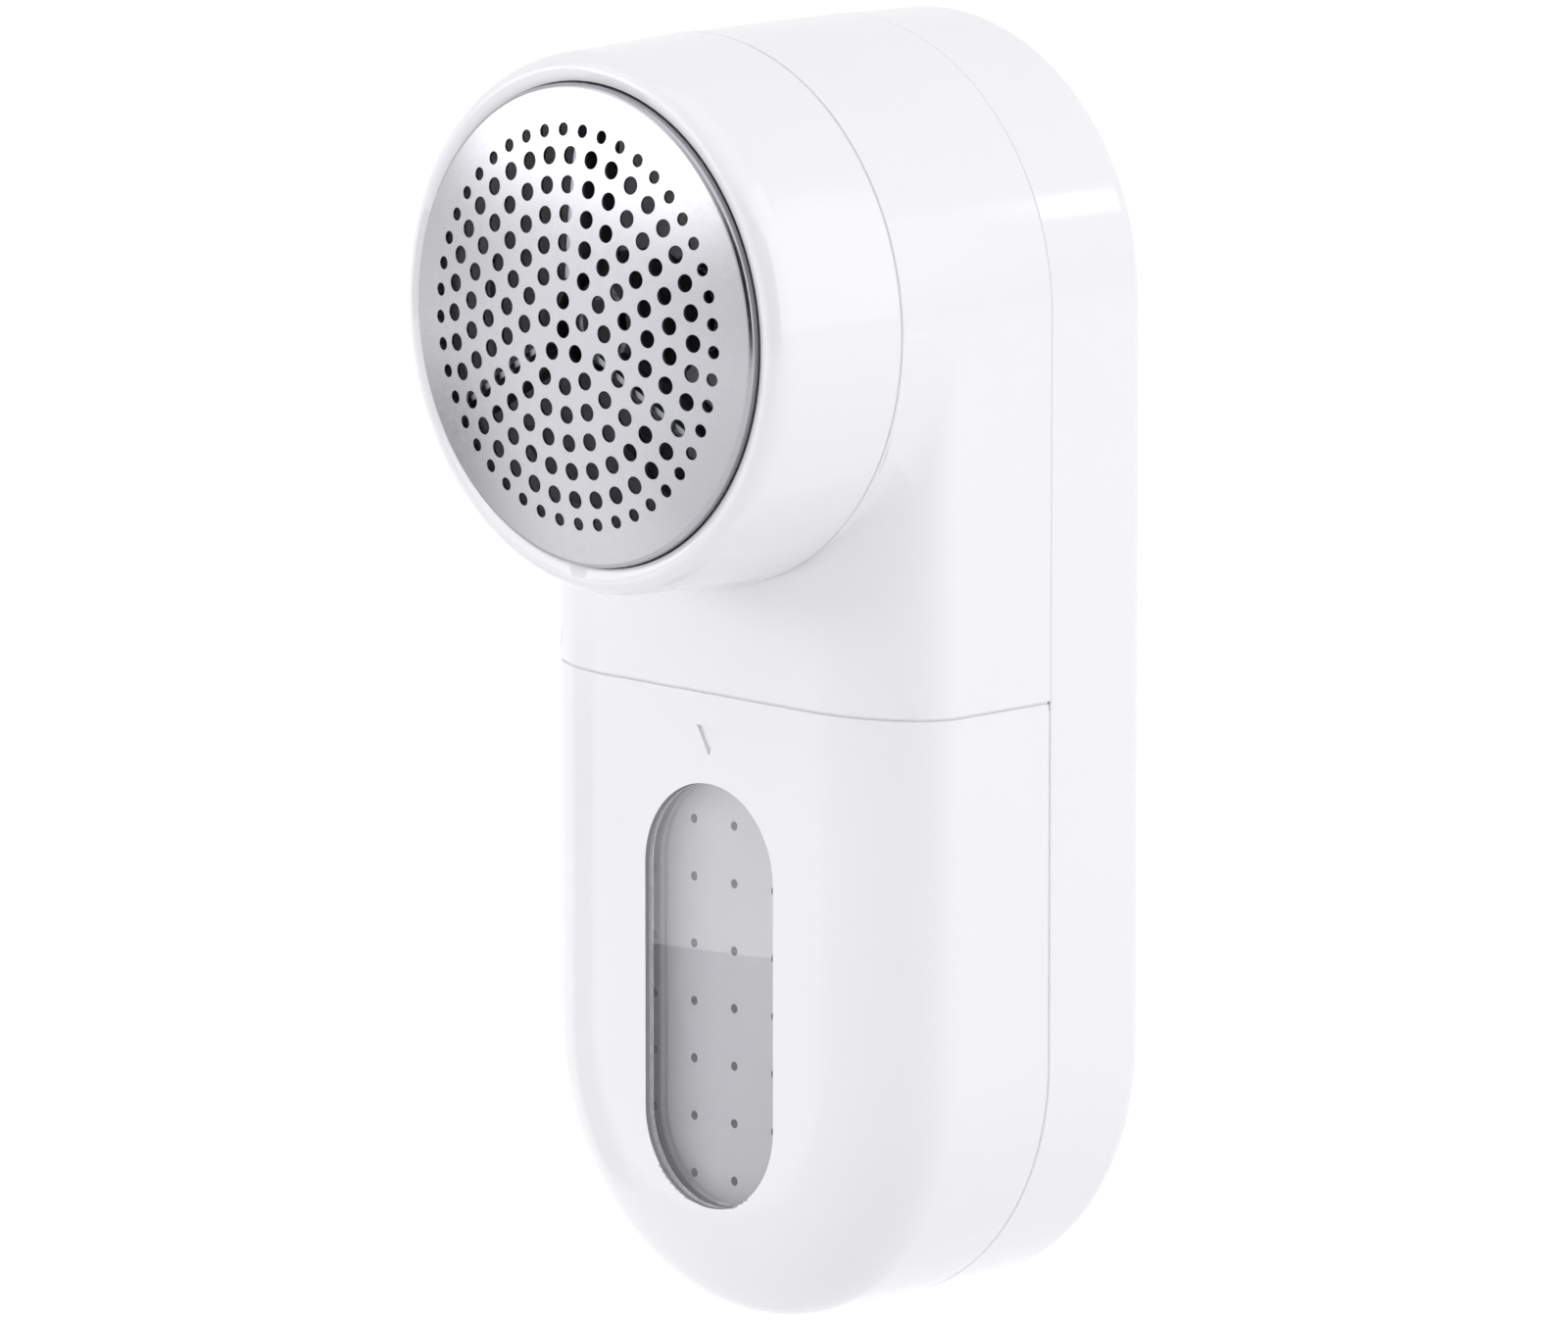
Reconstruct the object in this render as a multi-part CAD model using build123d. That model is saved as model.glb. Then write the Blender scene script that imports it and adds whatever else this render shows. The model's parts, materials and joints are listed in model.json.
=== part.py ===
from build123d import *
import os
from math import cos, radians, sin, sqrt

# Handheld fabric shaver, in millimetres.
# Z = 0 is the drive axis, which runs along Y. Y = 0 is the flat back face, and the
# cutter faces -Y. X = 0 is the plane of symmetry.

# Body envelope
half_width = 29.0          # half the body's width, and the radius of both round ends
tail_drop = 79.5           # drive axis down to the centre of the round tail
split_drop = 40.7          # drive axis down to the joint between housing and lint box
rear_depth = 15.0          # back face to the parting line
front_depth = 21.8         # parting line to the front face
front_edge_x = 14.0        # soft front edge, across the body
front_edge_y = 8.3         # soft front edge, along the depth
rear_edge = 3.0            # radius of the back edge
rear_draft = 1.5           # mould draft of the rear cover, degrees
wall = 2.0                 # shell wall
seam = 0.2                 # visible gap between neighbouring shells
slip = 0.15                # clearance of a part that slides by hand
face = 0.05                # clearance between two faces that meet

# Cutter head
head_length = 17.3         # head ring's back edge to its front crest
head_taper = 0.55          # how much slimmer the ring is at its front
ring_wall = 2.1
crest_inset = 1.85         # ring's side in to its front crest
crest_round = 2.0          # depth of the rounding between them
land_drop = 0.5            # crest back to the inner edge beside the foil
lip_depth = 3.0            # crest back to the lip that traps the foil's flange
foil_radius = 25.3
foil_gap = 0.15            # around the foil's wall
foil_sheet = 0.3
foil_proud = 3.3           # foil's crown in front of the ring's crest
foil_sphere = 118.0        # radius of the domed face
foil_corner = 0.7
flange_width = 1.4
hole_pitch = 3.0           # between rings of holes
hole_dia = 1.9
rim_hole_dia = 1.4
rim_hole_ring = 20.6
hole_rings = [5, 12, 18, 24, 30, 36]
hole_phases = [19.0, 1.0, 11.0, 1.0, 7.0, 1.0]    # degrees from +X towards +Z
rim_holes = 45
rim_hole_phase = 7.0

# Quick-release collar
collar_length = 7.7
collar_wall = 2.2
collar_fit = 0.3
lug_height = 1.0
lug_width = 1.6
lug_span = 7.0             # degrees
lug_back = 2.6             # lug's middle in front of the ring's back edge
lug_gap = 0.2              # around the lug in its groove
thread_lead = 0.8          # degrees of groove behind the lug
lug_angles = [30, 150, 270]
twist = 60.0               # degrees to release
lift = 8.0                 # forward travel over the twist
key_width = 2.4
key_depth = 0.4
key_gap = 0.15
key_angles = [90, 210, 330]
carrier_radius = 23.3      # inside of the foil carrier
carrier_length = 4.7
tongue_sheet = 0.85
tongue_reach = 5.9         # tongue behind the foil carrier
retainer_sheet = 1.1
retainer_depth = 0.6       # retaining ring's groove in the head ring's bore
retainer_split = 6.0       # gap in the retaining ring

# Cutter
blade_count = 3
blade_reach = 22.2
blade_sheet = 0.6
blade_gap = 0.2            # below the foil
blade_seat = 2.0           # depth of a blade's slot
hub_drop = 4.2             # foil's crown back to the hub's front
hub_length = 8.9
hub_radius = 7.2
hub_recess = 5.2           # radius of the recess that holds the clip
hub_depth = 2.4
hub_float = 0.8            # sprung travel of the hub
arm_reach = 21.5
arm_width = 2.4
arm_depth = 2.8
sleeve_radius = 3.5
flange_radius = 6.0
flange_sheet = 1.0
flange_drop = 6.5          # hub's back to the sleeve's flange
sleeve_tail = 0.8          # sleeve behind its flange
square_drive = 5.0
square_gap = 0.08
clip_radius = 4.5
clip_sheet = 0.85
spring_radius = 4.6
spring_wire = 0.6
sleeve_neck = 2.1          # groove for the clip
sleeve_end = 0.5           # collar in front of the clip
blade_slot_gap = 0.05
clip_mouth = 3.4           # open side of the clip
hub_spring_turns = 4
shaft_radius = 1.0
shaft_reach = 46.0         # back face to the shaft's front end
press = 0.03               # radial clearance of what is pressed or glued in
running = 0.06             # radial clearance of a running fit
lap = 0.5                  # overlap of a rib, rail or lug with the wall it grows from

# Motor
plate_sheet = 1.6
plate_fit = 0.4            # plate's edge inside the housing
can_radius = 12.1
can_flat = 9.2             # half height over the flats
can_length = 26.0
can_sheet = 1.0
end_cap_length = 2.6
boss_radius = 3.2
boss_length = 1.4
bush_radius = 2.6
stack_radius = 7.6
stack_length = 14.0
magnet_radius = 8.3        # inside of the magnets
magnet_length = 18.0
magnet_half = 6.4          # half height of a magnet
magnet_lead = 2.0          # can's front wall to the magnets
commutator_radius = 2.8
terminal_x = 5.0
motor_screw_x = 8.0
motor_screw_length = 3.0
brush_reach = 3.3
brush_depth = 2.8
brush_width = 1.8
winding_radius = 5.8
winding_bore = 3.0
winding_length = 2.0       # end of the windings outside the stack
stack_slot = 1.2           # width of a slot in the stack
bush_inset = 0.3           # rear bush's seat inside its boss
shaft_gap = 0.3            # around the shaft where it leaves the can
shaft_inset = 0.5          # shaft's rear end inside the rear boss
plug_depth = 1.5           # end cap's plug inside the can
stack_lead = 5.2           # can's front to the armature's stack
terminal_width = 2.4
terminal_sheet = 0.4
terminal_length = 3.6
terminal_seat = 0.6        # terminal's foot inside the end cap
plate_screw_length = 6.0
plate_screw_edge = 0.2     # screws' heads to the housing's wall
plate_screw_angles = [12, 168, 204, 336]
screw_tip_gap = 0.3        # below a screw's tip in its blind hole

# Lint chute
chute_half = 18.5
chute_top_drop = 10.6      # drive axis down to the chute's top
chute_back = 19.8          # back face to the chute's rear wall
chute_wall = 1.5
chute_mouth_drop = 24.0    # drive axis down to the lower edge of the chute's mouth
lint_slot = [17.2, 23.4]   # radii of the lint opening in the plate
lint_slot_span = 44.0      # degrees either side of straight down

# Battery bay
cell_radius = 7.1
cell_length = 49.3
nub_length = 1.2
nub_radius = 2.7
cell_spacing = 15.0
cell_gap = 0.2
spring_room = 4.1
contact_sheet = 0.3
cell_spring_radius = 3.0
cell_spring_wire = 0.7
tray_wall = 1.2
tray_room = 0.6            # beside the cells
tray_top_drop = 43.0       # drive axis down to the tray's top
tray_ear = 3.8
ear_sheet = 2.0
tray_screw_x = 18.4
tray_screw_inset = 3.0     # tray's top down to its screws
tab_half = 1.0
tab_x = 4.0
tab_gap = 0.1
tab_lap = 2.0              # contact's tab over the board
contact_inset = 1.0        # contact plate's edge inside the tray
cell_edge = 0.6
cell_spring_turns = 3
door_half_width = 17.0
door_thickness = 1.9
door_ledge = 1.4
door_top_drop = 46.0
frame_lap = 3.0            # door's frame above the door
rail_width = 0.8
rail_sheet = 0.9
rail_drop = 4.0            # door's top edge down to its rails
grip_ribs = 5
grip_drop = 4.0
grip_pitch = 1.6
grip_half = 6.0
grip_depth = 0.4

# Lint box
box_wall = 1.8
box_back_wall = 1.6
window_half_width = 9.7
window_straight = 26.2
window_drop = 73.3         # drive axis down to the window's centre
window_recess = 0.5
window_flange = 1.5
flange_step = 1.0
filter_depth = 4.2         # front face back to the perforated plate
filter_sheet = 1.0
filter_half = 24.2
filter_hole_dia = 1.0
filter_pitch = 6.1
filter_pitch_z = 6.2
filter_rib_gap = 1.0       # extra space between the second and third rows
filter_rows = 7
filter_first_drop = 55.3   # drive axis down to the first row
filter_top_gap = 1.5
ledge_sheet = 0.8          # ribs that hold the filter's long edges
ledge_front = 22.0
ledge_back = 23.3
ledge_drop = [52.0, 72.0]
mark_width = 3.7
mark_height = 3.1
mark_drop = 3.5            # box's top edge down to the mark
mark_depth = 0.35
guide_x = 22.0             # T rails that carry the lint box
guide_head = 3.0
guide_stem = 1.2
guide_sheet = 1.0
guide_lead = 1.7           # lint box's back wall to the guide's head
guide_wall = 1.1
guide_lip = 0.3            # channel's lip in front of the box's rear edge
guide_top_drop = 43.0
guide_low_drop = 87.0

# Switch
button_width = 7.0
button_length = 11.0
button_travel = 6.0
button_drop = 27.0         # drive axis down to the button in its off place
button_sheet = 1.0
button_corner = 2.2
button_rib_pitch = 2.4
button_rib_width = 0.8
neck_width = 3.8
neck_length = 6.0
neck_reach = 1.5           # button's neck inside the wall
socket_depth = 1.1         # slider's socket in the button's neck
socket_gap = 0.1
scoop_width = 15.0
scoop_length = 26.0
scoop_depth = 1.1
scoop_corner = 7.0
switch_width = 7.2
switch_length = 17.0
switch_depth = 4.0
switch_floor = 1.3         # below the slider
lever = 2.8
board_width = 18.0
board_length = 24.0
board_sheet = 1.4
board_drop = 24.0
board_back = 9.5           # back face to the board
post_radius = 1.5
pin_radius = 0.7
pin_length = 0.6           # pin in front of the board
pin_gap = 0.1
post_x = 7.0
post_z = 10.0              # posts above and below the board's middle
lead_sheet = 0.3
lead_width = 0.8
interlock_lead_x = 1.2
lead_pad = 4.5             # lead's end along the board
lead_turn = 0.5            # motor lead's turn past the end cap and the can
lead_can_gap = 0.4         # can's flat to the middle of an interlock lead
plunger_radius = 1.0
plunger_gap = 0.1
plunger_edge = 0.2         # plunger's side to the collar's bore
plunger_depth = 3.1        # plunger's end inside the switch
interlock_width = 6.4
interlock_height = 6.0
interlock_depth = 6.2

# Fasteners
screw_radius = 1.1
screw_head_radius = 2.1
screw_head = 1.4
screw_length = 16.0
screw_seat = 9.0           # back face to the seat of a housing screw's head
screw_gap = 0.05
screw_head_gap = 0.3
boss_wall = 1.6
upper_screw_inset = 5.6    # body's round top in to the upper screws
upper_screw_angle = 40.0
lower_screw_inset = 7.0    # body's side in to the lower screws
lower_screw_rise = 6.7     # joint to the lint box up to the lower screws
small_screw_radius = 0.7
small_head_radius = 1.3
small_head = 0.9
small_screw_length = 3.2

# Worked-out places
y_part = -rear_depth
y_front = -(rear_depth + front_depth)
z_split = -split_drop
z_tail = -tail_drop
y_ring = y_front - seam
y_crest = y_ring - head_length
y_crown = y_crest - foil_proud
y_lip = y_crest + lip_depth
y_flange = y_lip + face                       # front of the foil's flange
ring_bore = half_width - ring_wall
collar_radius = ring_bore - collar_fit
chamber_radius = collar_radius - collar_wall
y_collar = y_front - collar_length
y_lug = y_ring - lug_back
y_carrier = y_flange + foil_sheet + face      # front of the foil carrier
y_carrier_back = y_carrier + carrier_length
y_tongue = y_carrier_back + tongue_reach
y_plate = y_front + wall                      # front of the cutter plate
y_motor = y_plate + plate_sheet               # front of the motor can
y_can_end = y_motor + can_length
y_cap_end = y_can_end + end_cap_length
y_hub = y_crown + hub_drop                    # front of the hub
y_hub_back = y_hub + hub_length
y_sleeve_flange = y_hub_back + flange_drop    # front of the sleeve's flange
y_clip = y_hub + hub_depth - face             # back of the clip
z_chute_top = -chute_top_drop
y_frame = -(door_thickness + slip + door_ledge)   # inner face of the door's frame
cell_y = y_frame - cell_gap - cell_radius
y_tray = cell_y - cell_radius - cell_gap - tray_wall
y_bay = y_frame - face                        # open back edge of the tray
tray_half = cell_spacing / 2 + cell_radius + tray_wall + tray_room
z_tray_top = -tray_top_drop
z_bay_top = z_tray_top - tray_wall
z_bay_low = z_bay_top - cell_length - nub_length - spring_room
z_tray_low = z_bay_low - tray_wall
z_door_top = -door_top_drop
y_box_back = y_tray - 2 * slip - face         # rear face of the lint box's back wall
y_filter = y_front + filter_depth             # front of the perforated plate
z_window = -window_drop
z_button = -button_drop
z_board = -board_drop
guide_y = y_box_back + guide_lead             # front face of the guides
y_sleeve_end = y_clip - clip_sheet - sleeve_end
neck_end = -(wall + scoop_depth + neck_reach)        # front end of the button's neck
y_ear = y_bay - ear_sheet                     # front face of the tray's ears
y_board = -board_back
plunger_tip = y_tongue + face
plunger_end = y_motor + plunger_depth
plunger_ring = chamber_radius - plunger_edge - plunger_radius     # drive axis up to the plunger
plate_screw_ring = half_width - wall - plate_screw_edge - small_head_radius
upper_screw_ring = half_width - upper_screw_inset
housing_screws_at = [(upper_screw_ring * cos(radians(upper_screw_angle)),
                      upper_screw_ring * sin(radians(upper_screw_angle))),
                     (half_width - lower_screw_inset, z_split + lower_screw_rise)]


def fore(y, x=0.0, z=0.0):
    """Plane that faces the front, with its origin at x, y, z."""
    return Plane(origin=(x, y, z), x_dir=(1, 0, 0), z_dir=(0, -1, 0))


def rod(radius, y_back, y_fore, x=0.0, z=0.0):
    return extrude(fore(y_back, x, z) * Circle(radius), y_back - y_fore)


def tube(outer, inner, y_back, y_fore, x=0.0, z=0.0):
    return rod(outer, y_back, y_fore, x, z) - rod(inner, y_back, y_fore, x, z)


def block(x0, x1, y0, y1, z0, z1):
    centre = Pos((x0 + x1) / 2, (y0 + y1) / 2, (z0 + z1) / 2)
    return centre * Box(abs(x1 - x0), abs(y1 - y0), abs(z1 - z0))


def both_sides(shape):
    return [shape, mirror(shape, Plane.YZ)]


def about_drive(shape, degrees):
    """Turn a shape about the drive axis, anticlockwise as seen from the front."""
    return Rot(0, -degrees, 0) * shape


def spun(points, *arcs):
    """Solid of revolution about the drive axis from (radius, y) corners.

    An arc is given as (index, radius, y): it runs from corner index to the next one
    through the point at radius, y.
    """
    through = {index: (r, y) for index, r, y in arcs}
    edges = []
    for i, start in enumerate(points):
        end = points[(i + 1) % len(points)]
        if i in through:
            edges.append(ThreePointArc(start, through[i], end))
        else:
            edges.append(Line(start, end))
    return revolve(make_face(edges), Axis.Y, 360)


def coil(radius, wire, y_back, y_fore, turns):
    """Open coil spring about the drive axis."""
    height = y_back - y_fore - wire
    path = Helix(height / turns, height, radius, (0, y_back - wire / 2, 0), (0, -1, 0))
    return sweep(Plane(origin=path @ 0, z_dir=path % 0) * Circle(wire / 2), path=path)


def pill(radius, drop):
    """Outline with round ends: one on the drive axis, one at the tail."""
    ends = Circle(radius) + Pos(0, -drop) * Circle(radius)
    return ends + Pos(0, -drop / 2) * Rectangle(2 * radius, drop)


def front_section(inset, y_back):
    """Half of the body's cross-section in front of y_back, moved in by inset."""
    side = half_width - inset
    front = y_front + inset
    rx = front_edge_x - inset
    ry = front_edge_y - inset
    edge = EllipticalCenterArc((side - rx, front + ry), rx, ry, start_angle=270, arc_size=90)
    lines = Polyline((side, front + ry), (side, y_back), (0, y_back), (0, front), (side - rx, front))
    return make_face([edge, *lines.edges()])


def straight_body(section, z_low, z_top):
    side = extrude(Pos(0, 0, z_low) * section, z_top - z_low, dir=(0, 0, 1))
    return side + mirror(side, Plane.YZ)


def tail_body(section, z_top):
    """Carry a half section down the straight sides and round the tail."""
    end = revolve(Pos(0, 0, z_tail) * section, Axis((0, 0, z_tail), (0, 1, 0)), 180)
    return straight_body(section, z_tail, z_top) + end


def stadium(half, straight, y_back, y_fore):
    """Upright slot shape on the window's centre."""
    outline = SlotCenterToCenter(straight, 2 * half, rotation=90)
    return extrude(fore(y_back, 0, z_window) * outline, y_back - y_fore)


def helical(inner, outer, width, start, end, base):
    """Rib that climbs forward by lift over each twist, from start to end degrees."""
    steps = max(2, round((end - start) / 5))
    sections = []
    for i in range(steps + 1):
        turned = start + (end - start) * i / steps
        angle = radians(base + turned)
        middle = (inner + outer) / 2
        origin = (middle * cos(angle), y_lug - lift * turned / twist, middle * sin(angle))
        plane = Plane(origin=origin, x_dir=(cos(angle), 0, sin(angle)),
                      z_dir=(-sin(angle), 0, cos(angle)))
        sections.append(plane * Rectangle(outer - inner, width))
    return loft(sections, ruled=True)


def screw(radius, head_radius, head, length, seat, x, z, forward=True):
    """Pan-head screw whose head sits on the plane y = seat."""
    turn = -1 if forward else 1
    shank = rod(radius, max(seat, seat + turn * length), min(seat, seat + turn * length), x, z)
    cap = rod(head_radius, max(seat, seat - turn * head), min(seat, seat - turn * head), x, z)
    slot = Box(head_radius * 1.3, head / 2, head_radius * 0.3)
    y_top = seat - turn * head
    cross = Pos(x, y_top + turn * head / 4, z) * (slot + Rot(0, 90, 0) * slot)
    return shank + cap - cross


# Head


def dome_y(radius, sheet=0.0):
    """Depth of the foil's domed face, or of a surface a sheet behind it."""
    sphere = foil_sphere - sheet
    return y_crown + foil_sphere - sqrt(sphere ** 2 - radius ** 2)


def ring_of_holes(count, ring, dia, phase):
    cutters = []
    for i in range(count):
        angle = radians(phase + 360 * i / count)
        cutters.append(rod(dia / 2, y_crown + 5, y_crown - 1, ring * cos(angle), ring * sin(angle)))
    return cutters


def shaving_foil():
    bend = foil_radius - foil_corner
    y_wall = dome_y(bend) + foil_corner
    inner = foil_radius - foil_sheet
    rim = foil_radius + flange_width
    points = [(0, y_crown), (bend, dome_y(bend)), (foil_radius, y_wall), (foil_radius, y_flange),
              (rim, y_flange), (rim, y_flange + foil_sheet), (inner, y_flange + foil_sheet),
              (inner, y_wall), (bend, dome_y(bend, foil_sheet)), (0, y_crown + foil_sheet)]
    bulge = foil_corner * sqrt(0.5)
    inner_bulge = (foil_corner - foil_sheet) * sqrt(0.5)
    foil = spun(points,
                (0, bend / 2, dome_y(bend / 2)),
                (1, bend + bulge, y_wall - bulge),
                (7, bend + inner_bulge, y_wall - inner_bulge),
                (8, bend / 2, dome_y(bend / 2, foil_sheet)))
    cutters = [rod(hole_dia / 2, y_crown + 1, y_crown - 1)]
    for i, (count, phase) in enumerate(zip(hole_rings, hole_phases)):
        cutters += ring_of_holes(count, hole_pitch * (i + 1), hole_dia, phase)
    cutters += ring_of_holes(rim_holes, rim_hole_ring, rim_hole_dia, rim_hole_phase)
    return foil - cutters


def foil_carrier():
    ring = tube(collar_radius, carrier_radius, y_carrier_back, y_carrier)
    inner = carrier_radius
    outer = carrier_radius + tongue_sheet
    half = key_width
    key = block(outer - tongue_sheet / 2, chamber_radius + key_depth - key_gap, y_carrier_back, y_tongue,
                -key_width / 2, key_width / 2)
    skin = tube(outer, inner, y_tongue, y_carrier_back)
    tongue = (skin & block(0, half_width, y_carrier_back, y_tongue, -half, half)) + key
    return ring + [about_drive(tongue, angle) for angle in key_angles]


def retainer_groove():
    return y_carrier_back + face, y_carrier_back + face + retainer_sheet


def foil_retainer():
    y0, y1 = retainer_groove()
    ring = tube(ring_bore + retainer_depth - face, collar_radius - retainer_depth, y1, y0)
    return ring - block(0, half_width, y0, y1, -retainer_split / 2, retainer_split / 2)


def head_ring():
    side = half_width - head_taper
    crest = side - crest_inset
    inner = foil_radius + foil_gap
    y0, y1 = retainer_groove()
    deep = ring_bore + retainer_depth
    points = [(half_width, y_ring), (side, y_crest + crest_round), (crest, y_crest),
              (inner, y_crest + land_drop), (inner, y_lip), (ring_bore, y_lip),
              (ring_bore, y0 - face), (deep, y0 - face), (deep, y1 + face), (ring_bore, y1 + face),
              (ring_bore, y_ring)]
    bulge = sqrt(0.5)
    ring = spun(points, (1, crest + crest_inset * bulge, y_crest + crest_round * (1 - bulge)))
    lugs = [helical(ring_bore - lug_height, ring_bore + lap, lug_width, -lug_span / 2,
                    lug_span / 2, angle) for angle in lug_angles]
    return ring + lugs


# Housing


def front_housing():
    outer = straight_body(front_section(0, y_part), z_split, 0) + rod(half_width, y_part, y_front)
    hollow = straight_body(front_section(wall, y_part + 1), z_split + wall, 0)
    hollow += rod(half_width - wall, y_part + 1, y_plate)
    bosses = []
    for x, z in housing_screws_at:
        bosses += both_sides(rod(screw_radius + boss_wall, y_part - face, y_front, x, z))
    shell = outer - hollow
    for boss in bosses:
        shell += boss & outer
    shell -= rod(chamber_radius, y_plate + 1, y_front - 1)
    for x, z in housing_screws_at:
        shell -= both_sides(rod(screw_radius + screw_gap, y_part + 1, -screw_seat - screw_length - 1,
                                x, z))
    shell -= plate_screw_holes(y_plate + 1, y_front - 1)
    gap = slip + face
    shell -= block(-chute_half - gap, chute_half + gap, y_motor - gap, -chute_back + gap,
                   z_split - 1, z_split + wall + 1)
    return shell


def at_angle(ring, degrees):
    return ring * cos(radians(degrees)), ring * sin(radians(degrees))


def plate_screw_holes(y_back, y_fore):
    return [rod(small_screw_radius + screw_gap, y_back, y_fore, *at_angle(plate_screw_ring, angle))
            for angle in plate_screw_angles]


def twist_collar():
    """Ring clamped to the front of the housing, with the head's quick-release thread."""
    collar = tube(collar_radius, chamber_radius, y_front, y_collar)
    for angle in lug_angles:
        collar -= helical(ring_bore - lug_height - collar_fit, collar_radius + 1,
                          lug_width + 2 * lug_gap, -lug_span / 2 - thread_lead, twist, angle)
    half = key_width / 2 + key_gap
    slot = block(chamber_radius - 1, chamber_radius + key_depth, y_tongue + 1, y_collar - 1,
                 -half, half)
    collar -= [about_drive(slot, angle) for angle in key_angles]
    return collar - plate_screw_holes(y_front + 1, y_motor - plate_screw_length - screw_tip_gap)


def rear_solid(inset, y_back):
    """Rear half of the pill, moved in by inset and closed at y_back."""
    return extrude(fore(y_part) * pill(half_width - inset, tail_drop), -(y_back - y_part),
                   taper=rear_draft)


def rear_body():
    body = rear_solid(0, 0)
    back = body.faces().sort_by(Axis.Y)[-1]
    return fillet(back.edges(), rear_edge)


def door_outline(half, z_top, y_fore):
    """Column of the back wall that the battery door fills, down past the tail."""
    return block(-half, half, y_fore, 1, z_tail - half_width - 1, z_top)


def rear_cover():
    outer = rear_body()
    pad = block(-board_width / 2, board_width / 2, -wall - scoop_depth, -wall / 2,
                z_button - button_length, z_button + button_length + button_travel)
    frame_half = tray_half + tray_ear
    frame = block(-frame_half, frame_half, y_frame, -wall / 2, z_tail - half_width,
                  z_door_top + frame_lap)
    cover = outer - rear_solid(wall, -wall) + pad + (frame & outer)
    for x, z in housing_screws_at:
        boss = rod(screw_head_radius + screw_head_gap + boss_wall, -wall / 2, y_part + face, x, z)
        cover += [side & outer for side in both_sides(boss)]
    guide = block(guide_x - guide_stem / 2, guide_x + guide_stem / 2, guide_y, -wall / 2,
                  -guide_low_drop, -guide_top_drop)
    guide += block(guide_x - guide_head / 2, guide_x + guide_head / 2, guide_y,
                   guide_y + guide_sheet, -guide_low_drop, -guide_top_drop)
    cover += both_sides(guide)
    for x in (-post_x, post_x):
        for z in (z_board - post_z, z_board + post_z):
            cover += rod(post_radius, -wall / 2, y_board, x, z)
            cover += rod(pin_radius, y_board + 1, y_board - board_sheet - pin_length, x, z)
    for x, z in housing_screws_at:
        cover -= both_sides(rod(screw_head_radius + screw_head_gap, 1, -screw_seat, x, z))
        cover -= both_sides(rod(screw_radius + screw_gap, 0, y_part - 1, x, z))
    for x in (-tray_screw_x, tray_screw_x):
        cover -= rod(small_screw_radius + screw_gap, y_ear + small_screw_length + face,
                     y_frame - 1, x, z_tray_top - tray_screw_inset)
    return cover - door_seat() - scoop()


def door_seat():
    """Pocket, rail grooves and battery opening in the rear cover."""
    half = door_half_width + slip
    pocket = door_outline(half, z_door_top + slip, -(door_thickness + slip))
    opening = block(-half + door_ledge, half - door_ledge, y_frame - 1, 1, z_tray_low + door_ledge,
                    z_door_top - door_ledge)
    z_groove = z_door_top - rail_drop + slip
    groove = block(half - lap, half + rail_width, -(door_thickness + slip),
                   -(door_thickness - rail_sheet) + slip, z_tail - half_width - 1, z_groove)
    return pocket + opening + both_sides(groove)


def scoop():
    """Shallow recess round the power button, with the slot for its neck."""
    middle = z_button + button_travel / 2
    outline = Pos(0, middle) * RectangleRounded(scoop_width, scoop_length, scoop_corner)
    recess = extrude(fore(1) * outline, 1 + scoop_depth)
    slot = block(-neck_width / 2 - slip, neck_width / 2 + slip, -wall - scoop_depth - 1, 1,
                 z_button - neck_length / 2 - slip,
                 z_button + button_travel + neck_length / 2 + slip)
    return recess + slot


# Battery bay


def battery_door():
    outer = rear_body()
    door = outer & door_outline(door_half_width, z_door_top, -door_thickness)
    rail = block(door_half_width - lap, door_half_width + rail_width - slip, -door_thickness,
                 -(door_thickness - rail_sheet), z_tray_low, z_door_top - rail_drop)
    door += both_sides(rail)
    for i in range(grip_ribs):
        z = z_door_top - grip_drop - i * grip_pitch
        door -= block(-grip_half, grip_half, -grip_depth, 1, z, z + grip_pitch / 2)
    return door


def battery_holder():
    tray = block(-tray_half, tray_half, y_tray, y_bay, z_tray_low, z_tray_top)
    tray -= block(-tray_half + tray_wall, tray_half - tray_wall, y_tray + tray_wall, 1, z_bay_low,
                  z_bay_top)
    z_ear = z_tray_top - 2 * tray_screw_inset
    ear = block(tray_half - lap, tray_half + tray_ear, y_bay, y_ear, z_ear, z_tray_top)
    tray += both_sides(ear)
    screw_hole = rod(small_screw_radius + screw_gap, 1, y_ear - 1, tray_screw_x,
                     z_tray_top - tray_screw_inset)
    tray -= both_sides(screw_hole)
    rib_half = cell_spacing / 2 - cell_radius - cell_gap / 2
    tray += block(-rib_half, rib_half, y_tray + tray_wall / 2, cell_y,
                  z_bay_low + 2 * contact_sheet, z_bay_top)
    y_tab = y_board - board_sheet
    for x in (-tab_x, tab_x):
        tray -= block(x - tab_half - tab_gap, x + tab_half + tab_gap, y_tab - contact_sheet - tab_gap,
                      y_tab + tab_gap, z_bay_top - 1, z_tray_top + 1)
    return tray


def cell(x, nub_up):
    """AA cell whose nub touches the contact at one end of the bay."""
    z_seat = z_bay_top - contact_sheet if nub_up else z_bay_low + contact_sheet
    turn = -1 if nub_up else 1
    nub = Pos(x, cell_y, z_seat + turn * nub_length / 2) * Cylinder(nub_radius, nub_length)
    centre = z_seat + turn * (nub_length + cell_length / 2)
    can = Pos(x, cell_y, centre) * Cylinder(cell_radius, cell_length)
    return fillet(can.edges(), cell_edge) + nub


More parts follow.
